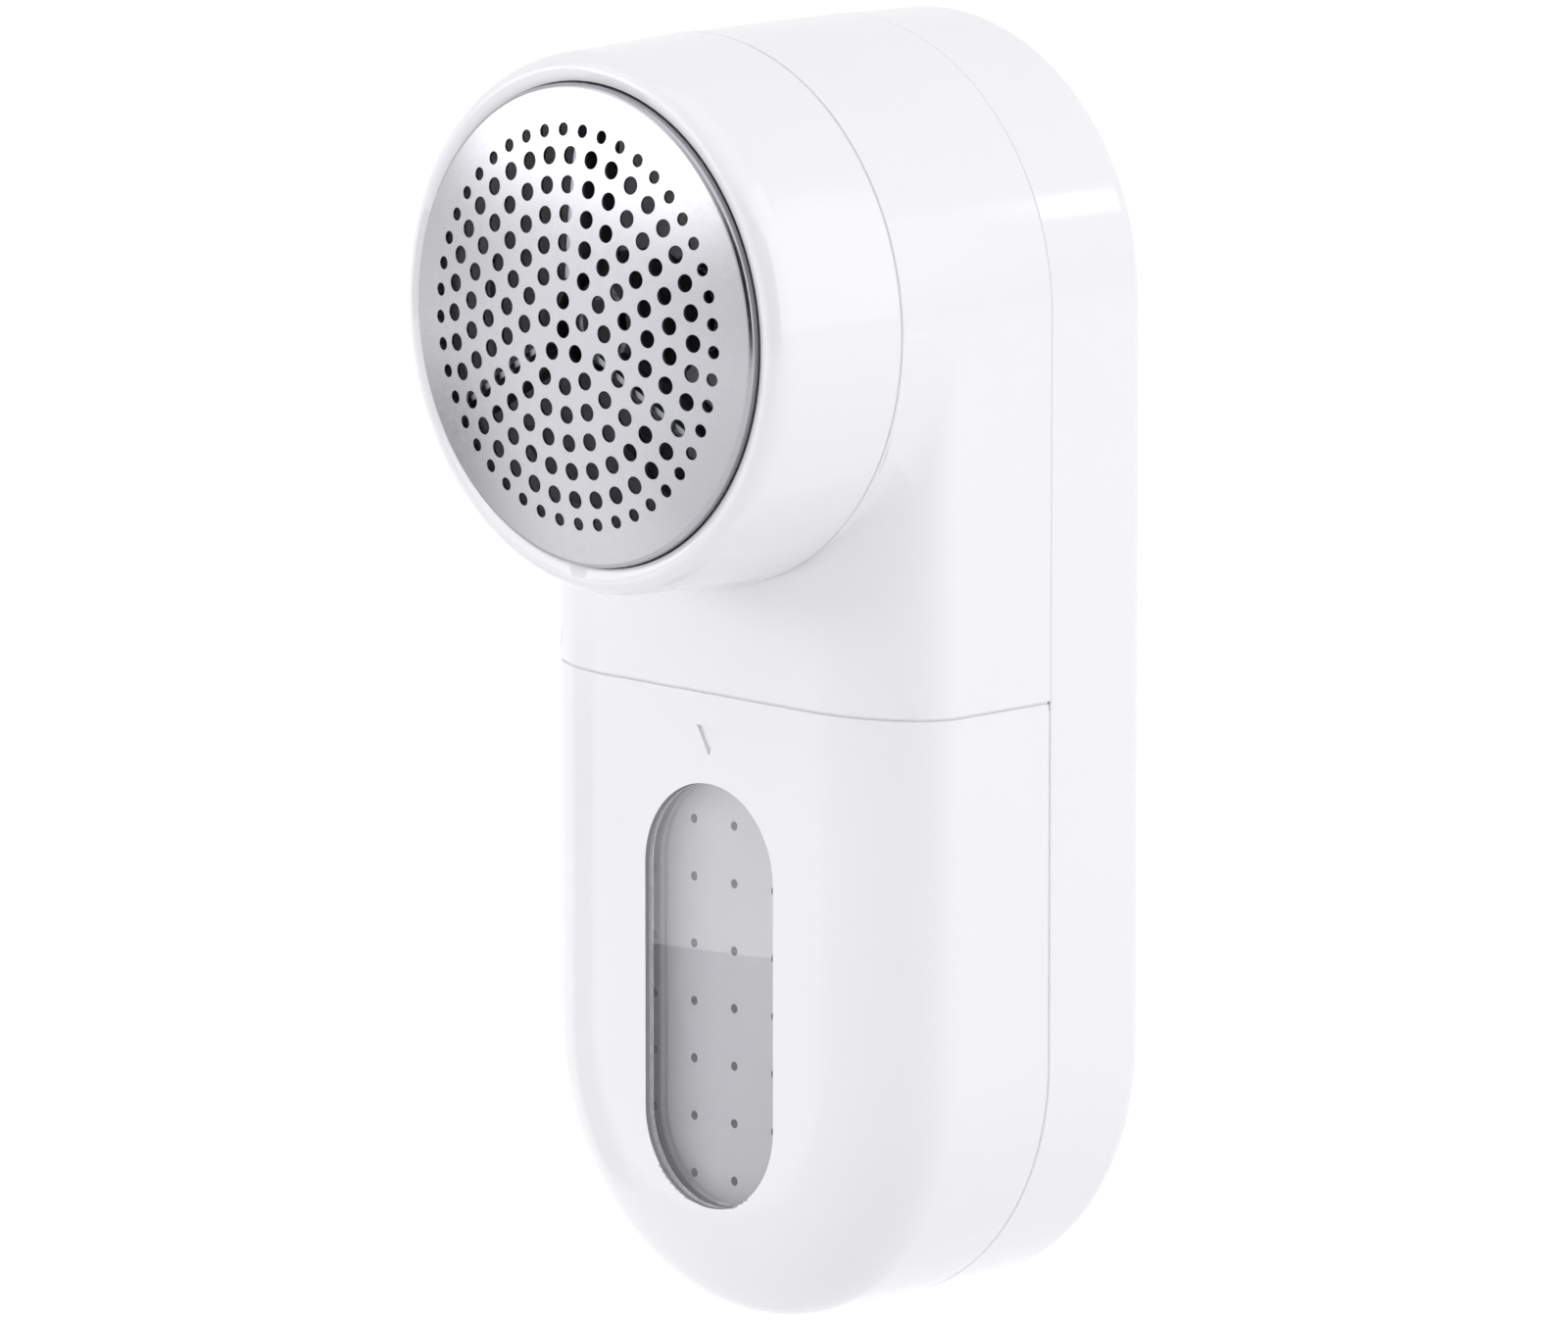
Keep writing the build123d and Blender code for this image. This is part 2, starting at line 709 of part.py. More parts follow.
def cell_spring(x, from_top):
    """Coil that presses on a cell's flat end."""
    height = spring_room - 2 * contact_sheet - cell_spring_wire - face
    z_seat = z_bay_top - contact_sheet if from_top else z_bay_low + contact_sheet
    turn = -1 if from_top else 1
    start = z_seat + turn * cell_spring_wire / 2
    path = Helix(height / cell_spring_turns, height, cell_spring_radius, (x, cell_y, start),
                 (0, 0, turn))
    return sweep(Plane(origin=path @ 0, z_dir=path % 0) * Circle(cell_spring_wire / 2), path=path)


def contact_plate(x0, x1, z):
    return block(x0, x1, y_tray + tray_wall + contact_inset, y_bay - contact_inset, z,
                 z + contact_sheet)


def contact_tab(x):
    """Tongue through the top of the tray to the board."""
    y_tab = y_board - board_sheet
    z_board_low = z_board - board_length / 2
    return block(x - tab_half, x + tab_half, y_tab - contact_sheet, y_tab, z_bay_top - contact_sheet,
                 z_board_low + tab_lap)


def contact_bridge():
    reach = tray_half - tray_wall - contact_inset
    plate = contact_plate(-reach, reach, z_bay_low)
    return [plate, cell_spring(-cell_spacing / 2, False)]


def contact_positive():
    reach = tray_half - tray_wall - contact_inset
    return contact_plate(-reach, -contact_inset, z_bay_top - contact_sheet) + contact_tab(-tab_x)


def contact_negative():
    reach = tray_half - tray_wall - contact_inset
    plate = contact_plate(contact_inset, reach, z_bay_top - contact_sheet) + contact_tab(tab_x)
    return [plate, cell_spring(cell_spacing / 2, True)]


# Lint box


def half_slab(half, y_back, y_fore):
    """Half of a flat cross-section from the plane of symmetry out to half."""
    return Pos(half / 2, (y_back + y_fore) / 2) * Rectangle(half, y_back - y_fore)


def lint_box():
    z_top = z_split - seam
    y_rear = y_part - seam
    outer = tail_body(front_section(0, y_rear), z_top)
    box = outer - tail_body(front_section(box_wall, y_box_back - box_back_wall), z_top + 1)
    box -= tail_body(half_slab(half_width - box_wall, y_rear + 1, y_box_back), z_top + 1)
    channel_half = guide_head / 2 + slip + guide_wall
    channel = block(guide_x - channel_half, guide_x + channel_half, y_box_back - lap,
                    y_rear - guide_lip, -guide_low_drop - guide_wall, z_top - guide_lip)
    head_half = guide_head / 2 + slip
    stem_half = guide_stem / 2 + slip
    channel -= block(guide_x - head_half, guide_x + head_half, guide_y - slip,
                     guide_y + guide_sheet + slip, -guide_low_drop - slip, z_top)
    channel -= block(guide_x - stem_half, guide_x + stem_half, guide_y, y_rear + 1,
                     -guide_low_drop - slip, z_top)
    box += both_sides(channel)
    for edge, y_fore in ((ledge_front, y_filter - face - ledge_sheet),
                         (ledge_back, y_filter + filter_sheet + face)):
        ledge = block(edge, half_width, y_fore, y_fore + ledge_sheet, -ledge_drop[1], -ledge_drop[0])
        box += [side & outer for side in both_sides(ledge)]
    box -= stadium(window_half_width, window_straight, y_front + box_wall + 1, y_front - 1)
    z_mark = z_top - mark_drop
    corners = [(-mark_width / 2, z_mark), (mark_width / 2, z_mark), (0, z_mark - mark_height)]
    mark = make_face(Polyline(*corners, close=True))
    return box - extrude(fore(y_front + mark_depth) * mark, mark_depth + 1)


def lint_window():
    y_face = y_front + window_recess
    y_step = y_front + box_wall + face
    pane = stadium(window_half_width - face, window_straight, y_step + flange_step, y_face)
    flange = stadium(window_half_width + window_flange, window_straight, y_step + flange_step,
                     y_step)
    return pane + (flange & tail_body(front_section(box_wall + face, y_filter), z_split))


def lint_filter():
    plate = tail_body(half_slab(filter_half, y_filter + filter_sheet, y_filter),
                      z_split - seam - filter_top_gap)
    holes = []
    for column in range(-3, 4):
        for row in range(filter_rows):
            z = -filter_first_drop - row * filter_pitch_z - (filter_rib_gap if row > 1 else 0)
            holes.append(rod(filter_hole_dia / 2, y_filter + filter_sheet + 1, y_filter - 1,
                             column * filter_pitch, z))
    return plate - holes


# Cutter drive


def lint_chute():
    y_rear = -chute_back
    z_low = z_split + seam
    duct = block(-chute_half, chute_half, y_motor, y_rear, z_low, z_chute_top)
    half = chute_half - chute_wall
    duct -= block(-half, half, y_motor + chute_wall, y_rear - chute_wall, z_low - 1,
                  z_chute_top - chute_wall)
    return duct - block(-half, half, y_motor - 1, y_motor + chute_wall + 1, -chute_mouth_drop,
                        z_chute_top - chute_wall)


def cutter_plate():
    plate = rod(half_width - wall - plate_fit, y_motor, y_plate)
    plate -= rod(boss_radius + plate_fit, y_motor + 1, y_plate - 1)
    inner, outer = lint_slot
    low = -90 - lint_slot_span
    high = -90 + lint_slot_span
    rim = [at_angle(outer, low), at_angle(outer, -90), at_angle(outer, high)]
    bore = [at_angle(inner, high), at_angle(inner, -90), at_angle(inner, low)]
    outline = [ThreePointArc(*rim), Line(rim[2], bore[0]), ThreePointArc(*bore),
               Line(bore[2], rim[0])]
    plate -= extrude(fore(y_motor + 1) * make_face(outline), plate_sheet + 2)
    plate -= rod(plunger_radius + plunger_gap, y_motor + 1, y_plate - 1, 0, plunger_ring)
    hole = small_screw_radius + screw_gap
    plate -= both_sides(rod(hole, y_motor + 1, y_plate - 1, motor_screw_x))
    plate -= plate_screw_holes(y_motor + 1, y_plate - 1)
    x, z = housing_screws_at[0]
    return plate - both_sides(rod(screw_radius + boss_wall + plate_fit, y_motor + 1, y_plate - 1,
                                  x, z))


def interlock_switch():
    half = interlock_width / 2
    y_rear = y_motor + interlock_depth
    body = block(-half, half, y_motor, y_rear, plunger_ring - interlock_height / 2,
                 plunger_ring + interlock_height / 2)
    return body - rod(plunger_radius + plunger_gap, plunger_end + face, y_motor - 1, 0, plunger_ring)


def interlock_plunger():
    return rod(plunger_radius, plunger_end, plunger_tip, 0, plunger_ring)


def drive_sleeve():
    half = square_drive / 2
    y_flange_back = y_sleeve_flange + flange_sheet
    y_square = y_hub_back + hub_float + face
    sleeve = rod(sleeve_radius, y_flange_back + sleeve_tail, y_square)
    sleeve += rod(flange_radius, y_flange_back, y_sleeve_flange)
    sleeve += block(-half, half, y_square, y_clip, -half, half)
    sleeve += rod(sleeve_neck, y_clip, y_sleeve_end)
    sleeve += rod(half, y_clip - clip_sheet, y_sleeve_end)
    return sleeve - rod(shaft_radius + press, y_flange_back + sleeve_tail + 1, -shaft_reach - 0.2)


def hub_clip():
    clip = tube(clip_radius, sleeve_neck + press, y_clip, y_clip - clip_sheet + face)
    return clip - block(0, clip_radius + 1, y_clip - clip_sheet, y_clip, -clip_mouth / 2,
                        clip_mouth / 2)


def blade_spring():
    return coil(spring_radius, spring_wire, y_sleeve_flange - face, y_hub_back + face,
                hub_spring_turns)


def blade_hub():
    hub = rod(hub_radius, y_hub_back, y_hub)
    arm = block(hub_radius - 1, arm_reach, y_hub, y_hub + arm_depth, -arm_width / 2,
                arm_width / 2)
    half = blade_sheet / 2 + blade_slot_gap
    slot = block(hub_recess, arm_reach + 1, y_hub - 1, y_hub + blade_seat, -half, half)
    angles = [90 + i * 360 / blade_count for i in range(blade_count)]
    hub += [about_drive(arm, angle) for angle in angles]
    hub -= [about_drive(slot, angle) for angle in angles]
    hub -= rod(hub_recess, y_hub + hub_depth, y_hub - 1)
    bore = square_drive / 2 + square_gap
    return hub - block(-bore, bore, y_hub_back + 1, y_hub, -bore, bore)


def cutter_blades():
    blade = block(hub_recess + blade_slot_gap, blade_reach, y_crown, y_hub + blade_seat - face,
                  -blade_sheet / 2, blade_sheet / 2)
    blade &= Pos(0, y_crown + foil_sphere, 0) * Sphere(foil_sphere - foil_sheet - blade_gap)
    return [about_drive(blade, 90 + i * 360 / blade_count) for i in range(blade_count)]


# Motor


def can_rod(inset, y_back, y_fore):
    """Round bar with two flats, moved in by inset from the motor can."""
    flat = can_flat - inset
    return rod(can_radius - inset, y_back, y_fore) & block(-can_radius, can_radius, y_back, y_fore,
                                                           -flat, flat)


def motor_can():
    can = can_rod(0, y_can_end, y_motor) - can_rod(can_sheet, y_can_end + 1, y_motor + can_sheet)
    can += rod(boss_radius, y_motor + can_sheet / 2, y_motor - boss_length)
    can -= rod(bush_radius, y_motor + can_sheet + 1, y_motor - boss_length + can_sheet / 2)
    can -= rod(shaft_radius + shaft_gap, y_motor + 1, y_motor - boss_length - 1)
    return can - both_sides(rod(small_screw_radius + screw_gap, y_motor + can_sheet + 1,
                                y_motor - 1, motor_screw_x))


def motor_end_cap():
    cap = can_rod(0, y_cap_end, y_can_end)
    cap += can_rod(can_sheet + press, y_can_end, y_can_end - plug_depth)
    cap += rod(boss_radius, y_cap_end + boss_length, y_cap_end)
    cap -= rod(bush_radius, y_cap_end + boss_length - bush_inset, y_can_end - plug_depth - 1)
    half = terminal_width / 2 + press
    sheet = terminal_sheet / 2 + press
    return cap - both_sides(block(terminal_x - half, terminal_x + half,
                                  y_can_end + terminal_seat - face, y_cap_end + 1, -sheet, sheet))


def motor_terminals():
    half = terminal_width / 2
    sheet = terminal_sheet / 2
    y_foot = y_can_end + terminal_seat
    return both_sides(block(terminal_x - half, terminal_x + half, y_foot, y_foot + terminal_length,
                            -sheet, sheet))


def motor_bushes():
    front = (y_motor + can_sheet, y_motor - boss_length + can_sheet / 2 + face)
    rear = (y_cap_end + boss_length - bush_inset - face, y_can_end - plug_depth)
    return [tube(bush_radius - press, shaft_radius + running, *ends) for ends in (front, rear)]


def motor_magnets():
    y_fore = y_motor + can_sheet + magnet_lead
    arc = tube(can_radius - can_sheet - press, magnet_radius, y_fore + magnet_length, y_fore)
    return both_sides(arc & block(0, can_radius, y_fore, y_fore + magnet_length,
                                  -magnet_half, magnet_half))


def motor_brushes():
    y_seat = y_can_end - plug_depth
    x = commutator_radius + 2 * running
    half = brush_width / 2
    return both_sides(block(x, x + brush_reach, y_seat - brush_depth, y_seat, -half, half))


def motor_armature():
    y_stack = y_motor + stack_lead
    stack = rod(stack_radius, y_stack + stack_length, y_stack)
    slot = block(winding_radius - 2, stack_radius + 1, y_stack - 1, y_stack + stack_length + 1,
                 -stack_slot / 2, stack_slot / 2)
    stack -= [about_drive(slot, 30 + 120 * i) for i in range(3)]
    return stack - rod(shaft_radius + press, y_stack + stack_length + 1, y_stack - 1)


def motor_windings():
    y_stack = y_motor + stack_lead
    front = tube(winding_radius, winding_bore, y_stack - face, y_stack - winding_length)
    y_rear = y_stack + stack_length + face
    return [front, tube(winding_radius, winding_bore, y_rear + winding_length, y_rear)]


def motor_commutator():
    y_rear = y_can_end - plug_depth - face
    return tube(commutator_radius, shaft_radius + press, y_rear - 0.5,
                y_motor + stack_lead + stack_length + face)


def motor_shaft():
    return rod(shaft_radius, y_cap_end + boss_length - shaft_inset, -shaft_reach)


def motor_screws():
    return both_sides(screw(small_screw_radius, small_head_radius, small_head, motor_screw_length,
                            y_plate, motor_screw_x, 0, forward=False))


def plate_screws():
    return [screw(small_screw_radius, small_head_radius, small_head, plate_screw_length, y_motor,
                  *at_angle(plate_screw_ring, angle)) for angle in plate_screw_angles]


def housing_screws():
    screws = []
    for x, z in housing_screws_at:
        screws += both_sides(screw(screw_radius, screw_head_radius, screw_head, screw_length,
                                   -screw_seat, x, z))
    return screws


def tray_screws():
    return both_sides(screw(small_screw_radius, small_head_radius, small_head, small_screw_length,
                            y_ear, tray_screw_x, z_tray_top - tray_screw_inset, forward=False))


# Switching


def switch_body():
    half = switch_width / 2
    middle = z_button + button_travel / 2
    body = block(-half, half, y_board, y_board + switch_depth, middle - switch_length / 2,
                 middle + switch_length / 2)
    reach = lever / 2 + slip
    return body - block(-reach, reach, y_board + switch_floor, 0, z_button - reach,
                        z_button + button_travel + reach)


def switch_slider():
    half = lever / 2
    return block(-half, half, y_board + switch_floor + slip, neck_end + socket_depth - socket_gap,
                 z_button - half, z_button + half)


def power_button():
    cap = extrude(fore(-(scoop_depth - face) + button_sheet, 0, z_button)
                  * RectangleRounded(button_width, button_length, button_corner), button_sheet)
    for i in (-1, 0, 1):
        z = z_button + i * button_rib_pitch
        cap -= block(-button_width / 3, button_width / 3, -scoop_depth / 2, 1,
                     z - button_rib_width / 2, z + button_rib_width / 2)
    neck = block(-neck_width / 2, neck_width / 2, neck_end, -scoop_depth + lap,
                 z_button - neck_length / 2, z_button + neck_length / 2)
    half = lever / 2 + socket_gap
    socket = block(-half, half, neck_end - 1, neck_end + socket_depth, z_button - half,
                   z_button + half)
    return cap + neck - socket


def switch_board():
    half = board_width / 2
    board = block(-half, half, y_board - board_sheet, y_board, z_board - board_length / 2,
                  z_board + board_length / 2)
    for x in (-post_x, post_x):
        for z in (z_board - post_z, z_board + post_z):
            board -= rod(pin_radius + pin_gap, y_board + 1, y_board - board_sheet - 1, x, z)
    return board


def lead(x, points):
    """Flat lead that turns square corners in the plane at x, from (y, z) points."""
    half = lead_sheet / 2
    solid = None
    for (y0, z0), (y1, z1) in zip(points, points[1:]):
        run = block(x - lead_width / 2, x + lead_width / 2, min(y0, y1) - half, max(y0, y1) + half,
                    min(z0, z1) - half, max(z0, z1) + half)
        solid = run if solid is None else solid + run
    return solid


def motor_leads():
    y_back = y_cap_end + lead_turn
    y_on_board = y_board + lead_sheet / 2
    z_turn = -can_flat - lead_turn
    path = [(y_back, -terminal_sheet / 2 - lead_sheet / 2), (y_back, z_turn), (y_on_board, z_turn),
            (y_on_board, z_turn - lead_pad)]
    return both_sides(lead(terminal_x, path))


def interlock_leads():
    y_switch = y_motor + interlock_depth + lead_sheet / 2
    y_back = (y_cap_end + boss_length - wall) / 2
    y_on_board = y_board + lead_sheet / 2
    z_over = can_flat + lead_can_gap
    path = [(y_switch, plunger_ring - 1), (y_switch, z_over), (y_back, z_over), (y_back, -z_over),
            (y_on_board, -z_over), (y_on_board, -z_over - lead_pad)]
    return both_sides(lead(interlock_lead_x, path))


NODES = {
    "head_ring": head_ring,
    "shaving_foil": shaving_foil,
    "foil_carrier": foil_carrier,
    "foil_retainer": foil_retainer,
    "blade_hub": blade_hub,
    "cutter_blades": cutter_blades,
    "blade_spring": blade_spring,
    "hub_clip": hub_clip,
    "drive_sleeve": drive_sleeve,
    "front_housing": front_housing,
    "twist_collar": twist_collar,
    "rear_cover": rear_cover,
    "housing_screws": housing_screws,
    "cutter_plate": cutter_plate,
    "plate_screws": plate_screws,
    "lint_chute": lint_chute,
    "motor_can": motor_can,
    "motor_end_cap": motor_end_cap,
    "motor_magnets": motor_magnets,
    "motor_bushes": motor_bushes,
    "motor_brushes": motor_brushes,
    "motor_terminals": motor_terminals,
    "motor_screws": motor_screws,
    "motor_armature": motor_armature,
    "motor_windings": motor_windings,
    "motor_commutator": motor_commutator,
    "motor_shaft": motor_shaft,
    "motor_leads": motor_leads,
    "interlock_plunger": interlock_plunger,
    "interlock_switch": interlock_switch,
    "interlock_leads": interlock_leads,
    "battery_holder": battery_holder,
    "tray_screws": tray_screws,
    "cell_left": lambda: cell(-cell_spacing / 2, True),
    "cell_right": lambda: cell(cell_spacing / 2, False),
    "contact_bridge": contact_bridge,
    "contact_positive": contact_positive,
    "contact_negative": contact_negative,
    "battery_door": battery_door,
    "power_button": power_button,
    "switch_slider": switch_slider,
    "switch_body": switch_body,
    "switch_board": switch_board,
    "lint_box": lint_box,
    "lint_window": lint_window,
    "lint_filter": lint_filter,
}

os.makedirs("parts", exist_ok=True)
for name, make in NODES.items():
    made = make()
    shape = Compound(made) if isinstance(made, list) else made
    export_step(shape, f"parts/{name}.step")
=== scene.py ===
import json
from math import acos, atan2, cos, hypot, pi, radians, sin, sqrt, tan

import bmesh
import bpy
import numpy as np
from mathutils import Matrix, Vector

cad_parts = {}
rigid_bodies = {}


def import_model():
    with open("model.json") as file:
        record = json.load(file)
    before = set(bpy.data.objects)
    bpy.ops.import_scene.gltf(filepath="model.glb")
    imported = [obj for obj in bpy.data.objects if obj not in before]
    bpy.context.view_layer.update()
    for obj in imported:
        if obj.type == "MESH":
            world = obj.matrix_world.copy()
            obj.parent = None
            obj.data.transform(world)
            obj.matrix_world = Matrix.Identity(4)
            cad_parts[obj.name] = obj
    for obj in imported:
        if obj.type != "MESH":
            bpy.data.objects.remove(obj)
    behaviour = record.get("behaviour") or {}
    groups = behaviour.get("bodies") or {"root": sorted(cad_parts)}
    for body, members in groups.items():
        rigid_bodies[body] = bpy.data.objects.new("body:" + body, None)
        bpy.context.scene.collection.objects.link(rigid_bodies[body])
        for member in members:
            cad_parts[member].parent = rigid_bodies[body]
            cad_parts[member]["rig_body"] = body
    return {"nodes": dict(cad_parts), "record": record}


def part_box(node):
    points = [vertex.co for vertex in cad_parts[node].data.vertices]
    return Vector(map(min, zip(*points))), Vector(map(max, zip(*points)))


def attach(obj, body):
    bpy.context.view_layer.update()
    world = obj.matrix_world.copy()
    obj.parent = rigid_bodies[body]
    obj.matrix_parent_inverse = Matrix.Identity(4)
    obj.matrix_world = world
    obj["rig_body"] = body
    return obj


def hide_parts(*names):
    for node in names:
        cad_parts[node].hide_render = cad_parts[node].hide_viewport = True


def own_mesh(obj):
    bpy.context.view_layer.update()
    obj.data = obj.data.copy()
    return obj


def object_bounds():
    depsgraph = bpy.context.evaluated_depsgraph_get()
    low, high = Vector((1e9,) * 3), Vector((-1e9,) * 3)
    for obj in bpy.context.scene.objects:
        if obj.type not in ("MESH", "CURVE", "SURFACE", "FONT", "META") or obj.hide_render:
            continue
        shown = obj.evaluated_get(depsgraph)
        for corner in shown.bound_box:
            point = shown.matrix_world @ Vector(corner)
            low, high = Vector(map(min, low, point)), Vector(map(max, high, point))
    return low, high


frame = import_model()
cad_low, cad_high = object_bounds()

nodes = frame["nodes"]

MM = 0.001
weld = 1e-7                # metres within which two points of a made mesh are one
cad_weld = 2e-6            # the same for a CAD node's mesh
tiny = 1e-9                # keeps a division or a comparison away from zero

# Sizes in millimetres, in the shared frame: the drive axis is X = 0, Z = 0, and the cutter faces -Y.
half_width = 29.0          # of the body, its round head and its round tail
tail = -79.5               # height of the tail's centre
split = -40.7              # bottom of the front housing, above the lint box
seam = 0.2                 # gap round the lint box and behind the head ring
part_line = -15.0          # front of the rear cover
front_face = -36.8         # front of the housing and the lint box
edge_x = 14.0              # how far the body's soft front edge reaches in from its side
edge_y = 8.3               # and back from its front
neck_blend = 9.0           # size of the soft blend between the round head and the body
blend_hold = 1.6           # largest blend that the head's wall can hold, for each mm of its height
soft_edge = 0.22           # moulded edges at every seam
foot = split - 2           # the housing's outer form runs on to here before it is cut to length
back_edge = 3.0            # rounding of the rear cover's back
draft = 1.5                # slope of the rear cover's side, in degrees
lip = 0.17                 # how far a lip inside a seam reaches across it
lip_inset = (0.26, 1.4)    # from the outside to the lip, and to the end of the lip
lap = 0.02                 # how far a lip runs into the wall that it grows from
slide_room = 68.0          # floor below the object, so that the lint box and the door slide out above it
window_flange = 1.5        # hidden border of the clear pane, behind the lint box wall
ring_back = -37.0          # back of the head ring, a seam ahead of the housing's front
ring_taper = 0.55          # how much narrower the head ring is at its shoulder than at its back
crest = -54.3              # front of the head ring
crest_inset = 1.85         # its soft front edge: how far that reaches in from the side
crest_round = 3.1          # and back from the front
crown = -57.6              # front of the foil's dome
foil_sphere = 118.0        # radius of the dome
foil_wall = 25.3           # radius of the wall behind it
foil_corner = 0.7          # bend between the dome and the wall
foil_sheet = 0.3           # thickness of the foil

# Cosine of the dome's slope where the bend starts, and the bend's centre as (radius, y).
foil_lean = sqrt(1 - ((foil_wall - foil_corner) / (foil_sphere - foil_corner)) ** 2)
foil_bend = (foil_wall - foil_corner, crown + foil_sphere - (foil_sphere - foil_corner) * foil_lean)


# ---------------------------------------------------------------- mesh tools


def in_scene(name, data):
    """New object in the scene, with this mesh, lamp or camera."""
    made = bpy.data.objects.new(name, data)
    bpy.context.scene.collection.objects.link(made)
    return made


def merge(piece, distance, outward=False):
    """Merge a piece's double points, and turn its faces outwards if asked to."""
    work = bmesh.new()
    work.from_mesh(piece.data)
    bmesh.ops.remove_doubles(work, verts=work.verts, dist=distance)
    bmesh.ops.dissolve_degenerate(work, edges=work.edges, dist=weld)
    if outward:
        bmesh.ops.recalc_face_normals(work, faces=work.faces)
    work.to_mesh(piece.data)
    work.free()
    return piece


def mesh_piece(name, points, faces, body=""):
    """A mesh from points in millimetres, with the name of the body that it will ride on.

    A form that only cuts or adds to another piece has no body.
    """
    mesh = bpy.data.meshes.new(name)
    mesh.from_pydata([tuple(c * MM for c in p) for p in points], [], faces)
    piece = merge(in_scene(name, mesh), weld, outward=True)
    piece["body"] = body
    return piece


def settle(piece):
    """Turn what the modifiers make into the piece's plain mesh."""
    graph = bpy.context.evaluated_depsgraph_get()
    graph.update()
    made = bpy.data.meshes.new_from_object(piece.evaluated_get(graph))
    piece.modifiers.clear()
    piece.data = made
    return piece


def soften(piece, width=soft_edge, segments=3, angle=40):
    """Round the piece's sharp edges as moulded edges are."""
    bevel = piece.modifiers.new("moulded edge", "BEVEL")
    bevel.width = width * MM
    bevel.segments = segments
    bevel.limit_method = "ANGLE"
    bevel.angle_limit = radians(angle)
    bevel.use_clamp_overlap = False
    return settle(piece)


def combine(piece, other, operation):
    """Cut another closed piece from this one, or add or keep it, and drop the other."""
    join = piece.modifiers.new("join", "BOOLEAN")
    join.operation = operation
    join.solver = "MANIFOLD"
    join.object = other
    settle(piece)
    bpy.data.objects.remove(other)
    return piece


def smooth(piece, angle=35, flatness=80):
    """Smooth shading that keeps true edges and flat faces."""
    for face in piece.data.polygons:
        face.use_smooth = True
    piece.data.set_sharp_from_angle(angle=radians(angle))
    weigh = piece.modifiers.new("flat faces", "WEIGHTED_NORMAL")
    weigh.keep_sharp = True
    weigh.weight = flatness
    return settle(piece)


def finish_piece(piece, material, slot, *replaced):
    """Give a piece its material and body, and hide the CAD nodes that it stands for."""
    piece.data.materials.clear()
    piece.data.materials.append(material)
    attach(piece, piece["body"])
    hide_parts(*replaced)
    return piece


def add(tree, kind, inputs=(), **settings):
    """Add a node with its own settings, and its inputs' values and links by name or number.

    A node that is given as an input is linked by its first output.
    """
    made = tree.nodes.new(kind)
    for name, value in settings.items():
        setattr(made, name, value)
    for name, value in dict(inputs).items():
        if isinstance(value, bpy.types.Node):
            value = value.outputs[0]
        if isinstance(value, bpy.types.NodeSocket):
            tree.links.new(value, made.inputs[name])
        else:
            made.inputs[name].default_value = value
    return made


def loft(rings, caps=(True, True), closed=True):
    """Points and faces of a skin over rings that have the same number of points."""
    points = [p for ring in rings for p in ring]
    count = len(rings[0])
    faces = []
    for i in range(len(rings) - 1):
        for j in range(count if closed else count - 1):
            k = (j + 1) % count
            faces.append((i * count + j, i * count + k, (i + 1) * count + k, (i + 1) * count + j))
    if caps[0]:
        faces.append(tuple(range(count)))
    if caps[1]:
        faces.append(tuple(range((len(rings) - 1) * count, len(rings) * count)))
    return points, faces


def node_copy(name, node):
    """Merged copy of a CAD node, riding on the node's own body."""
    source = nodes[node]
    piece = merge(in_scene(name, source.data.copy()), cad_weld)
    attributes = piece.data.attributes
    for extra in [a.name for a in attributes if a.name in ("custom_normal", "sharp_face")]:
        attributes.remove(attributes[extra])
    piece["body"] = source["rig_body"]
    return piece


def lathe(profile, steps):
    """Surface of revolution about the drive axis from (radius, y) points."""
    rings = []
    for i in range(steps):
        turn = 2 * pi * i / steps
        rings.append([(r * cos(turn), y, r * sin(turn)) for r, y in profile])
    rings.append(rings[0])
    return loft(rings, caps=(False, False))


def circle(radius, y, steps=180):
    """Ring of points round the drive axis."""
    return [(radius * cos(2 * pi * i / steps), y, radius * sin(2 * pi * i / steps)) for i in range(steps)]


def arc(centre, radii, start, end, steps):
    """Points (a, b) along an elliptical arc, angles in degrees."""
    out = []
    for i in range(steps + 1):
        turn = radians(start + (end - start) * i / steps)
        out.append((centre[0] + radii[0] * cos(turn), centre[1] + radii[1] * sin(turn)))
    return out


# ---------------------------------------------------------------- body shells


def side_field(reach, y):
    """Signed distance to the body's side and soft front edge, and how far its normal points sideways."""
    edge_a, edge_b = half_width - edge_x, front_face + edge_y
    ex = np.maximum(reach - edge_a, 0) / edge_x
    ey = np.minimum(y - edge_b, 0) / edge_y
    slope = 2 * np.hypot(ex / edge_x, ey / edge_y) + tiny
    on_edge = (reach > edge_a) & (y < edge_b)
    flat = np.maximum(reach - half_width, front_face - y)
    beside = np.where(reach > edge_a, 1.0, 0.0)
    sideways = np.where(on_edge, 2 * ex / edge_x / slope, beside)
    return np.where(on_edge, (ex ** 2 + ey ** 2 - 1) / slope, flat), sideways


def housing_field(x, y, z):
    """Signed distance to the housing: the round head and the body run together in a smooth hollow.

    The hollow fades where the two share a tangent, and where the head's wall is too low to hold it.
    """
    radius = np.hypot(x, z)
    across = np.abs(x) / np.maximum(radius, 1e-6)
    head = radius - half_width
    body, sideways = side_field(np.abs(x), y)
    out = np.clip((half_width * across - half_width + edge_x) / edge_x, 0, 1)
    wall = edge_y * (1 - np.sqrt(1 - out ** 2))
    blend = np.minimum(neck_blend * np.clip(1 - sideways * across, 0, 1), blend_hold * wall) + 1e-6
    share = np.maximum(blend - np.abs(head - body), 0) / blend
    joined = np.minimum(head, body) - share * share * share * blend / 6
    return np.maximum(np.where(z > 0, head, joined), front_face - y)


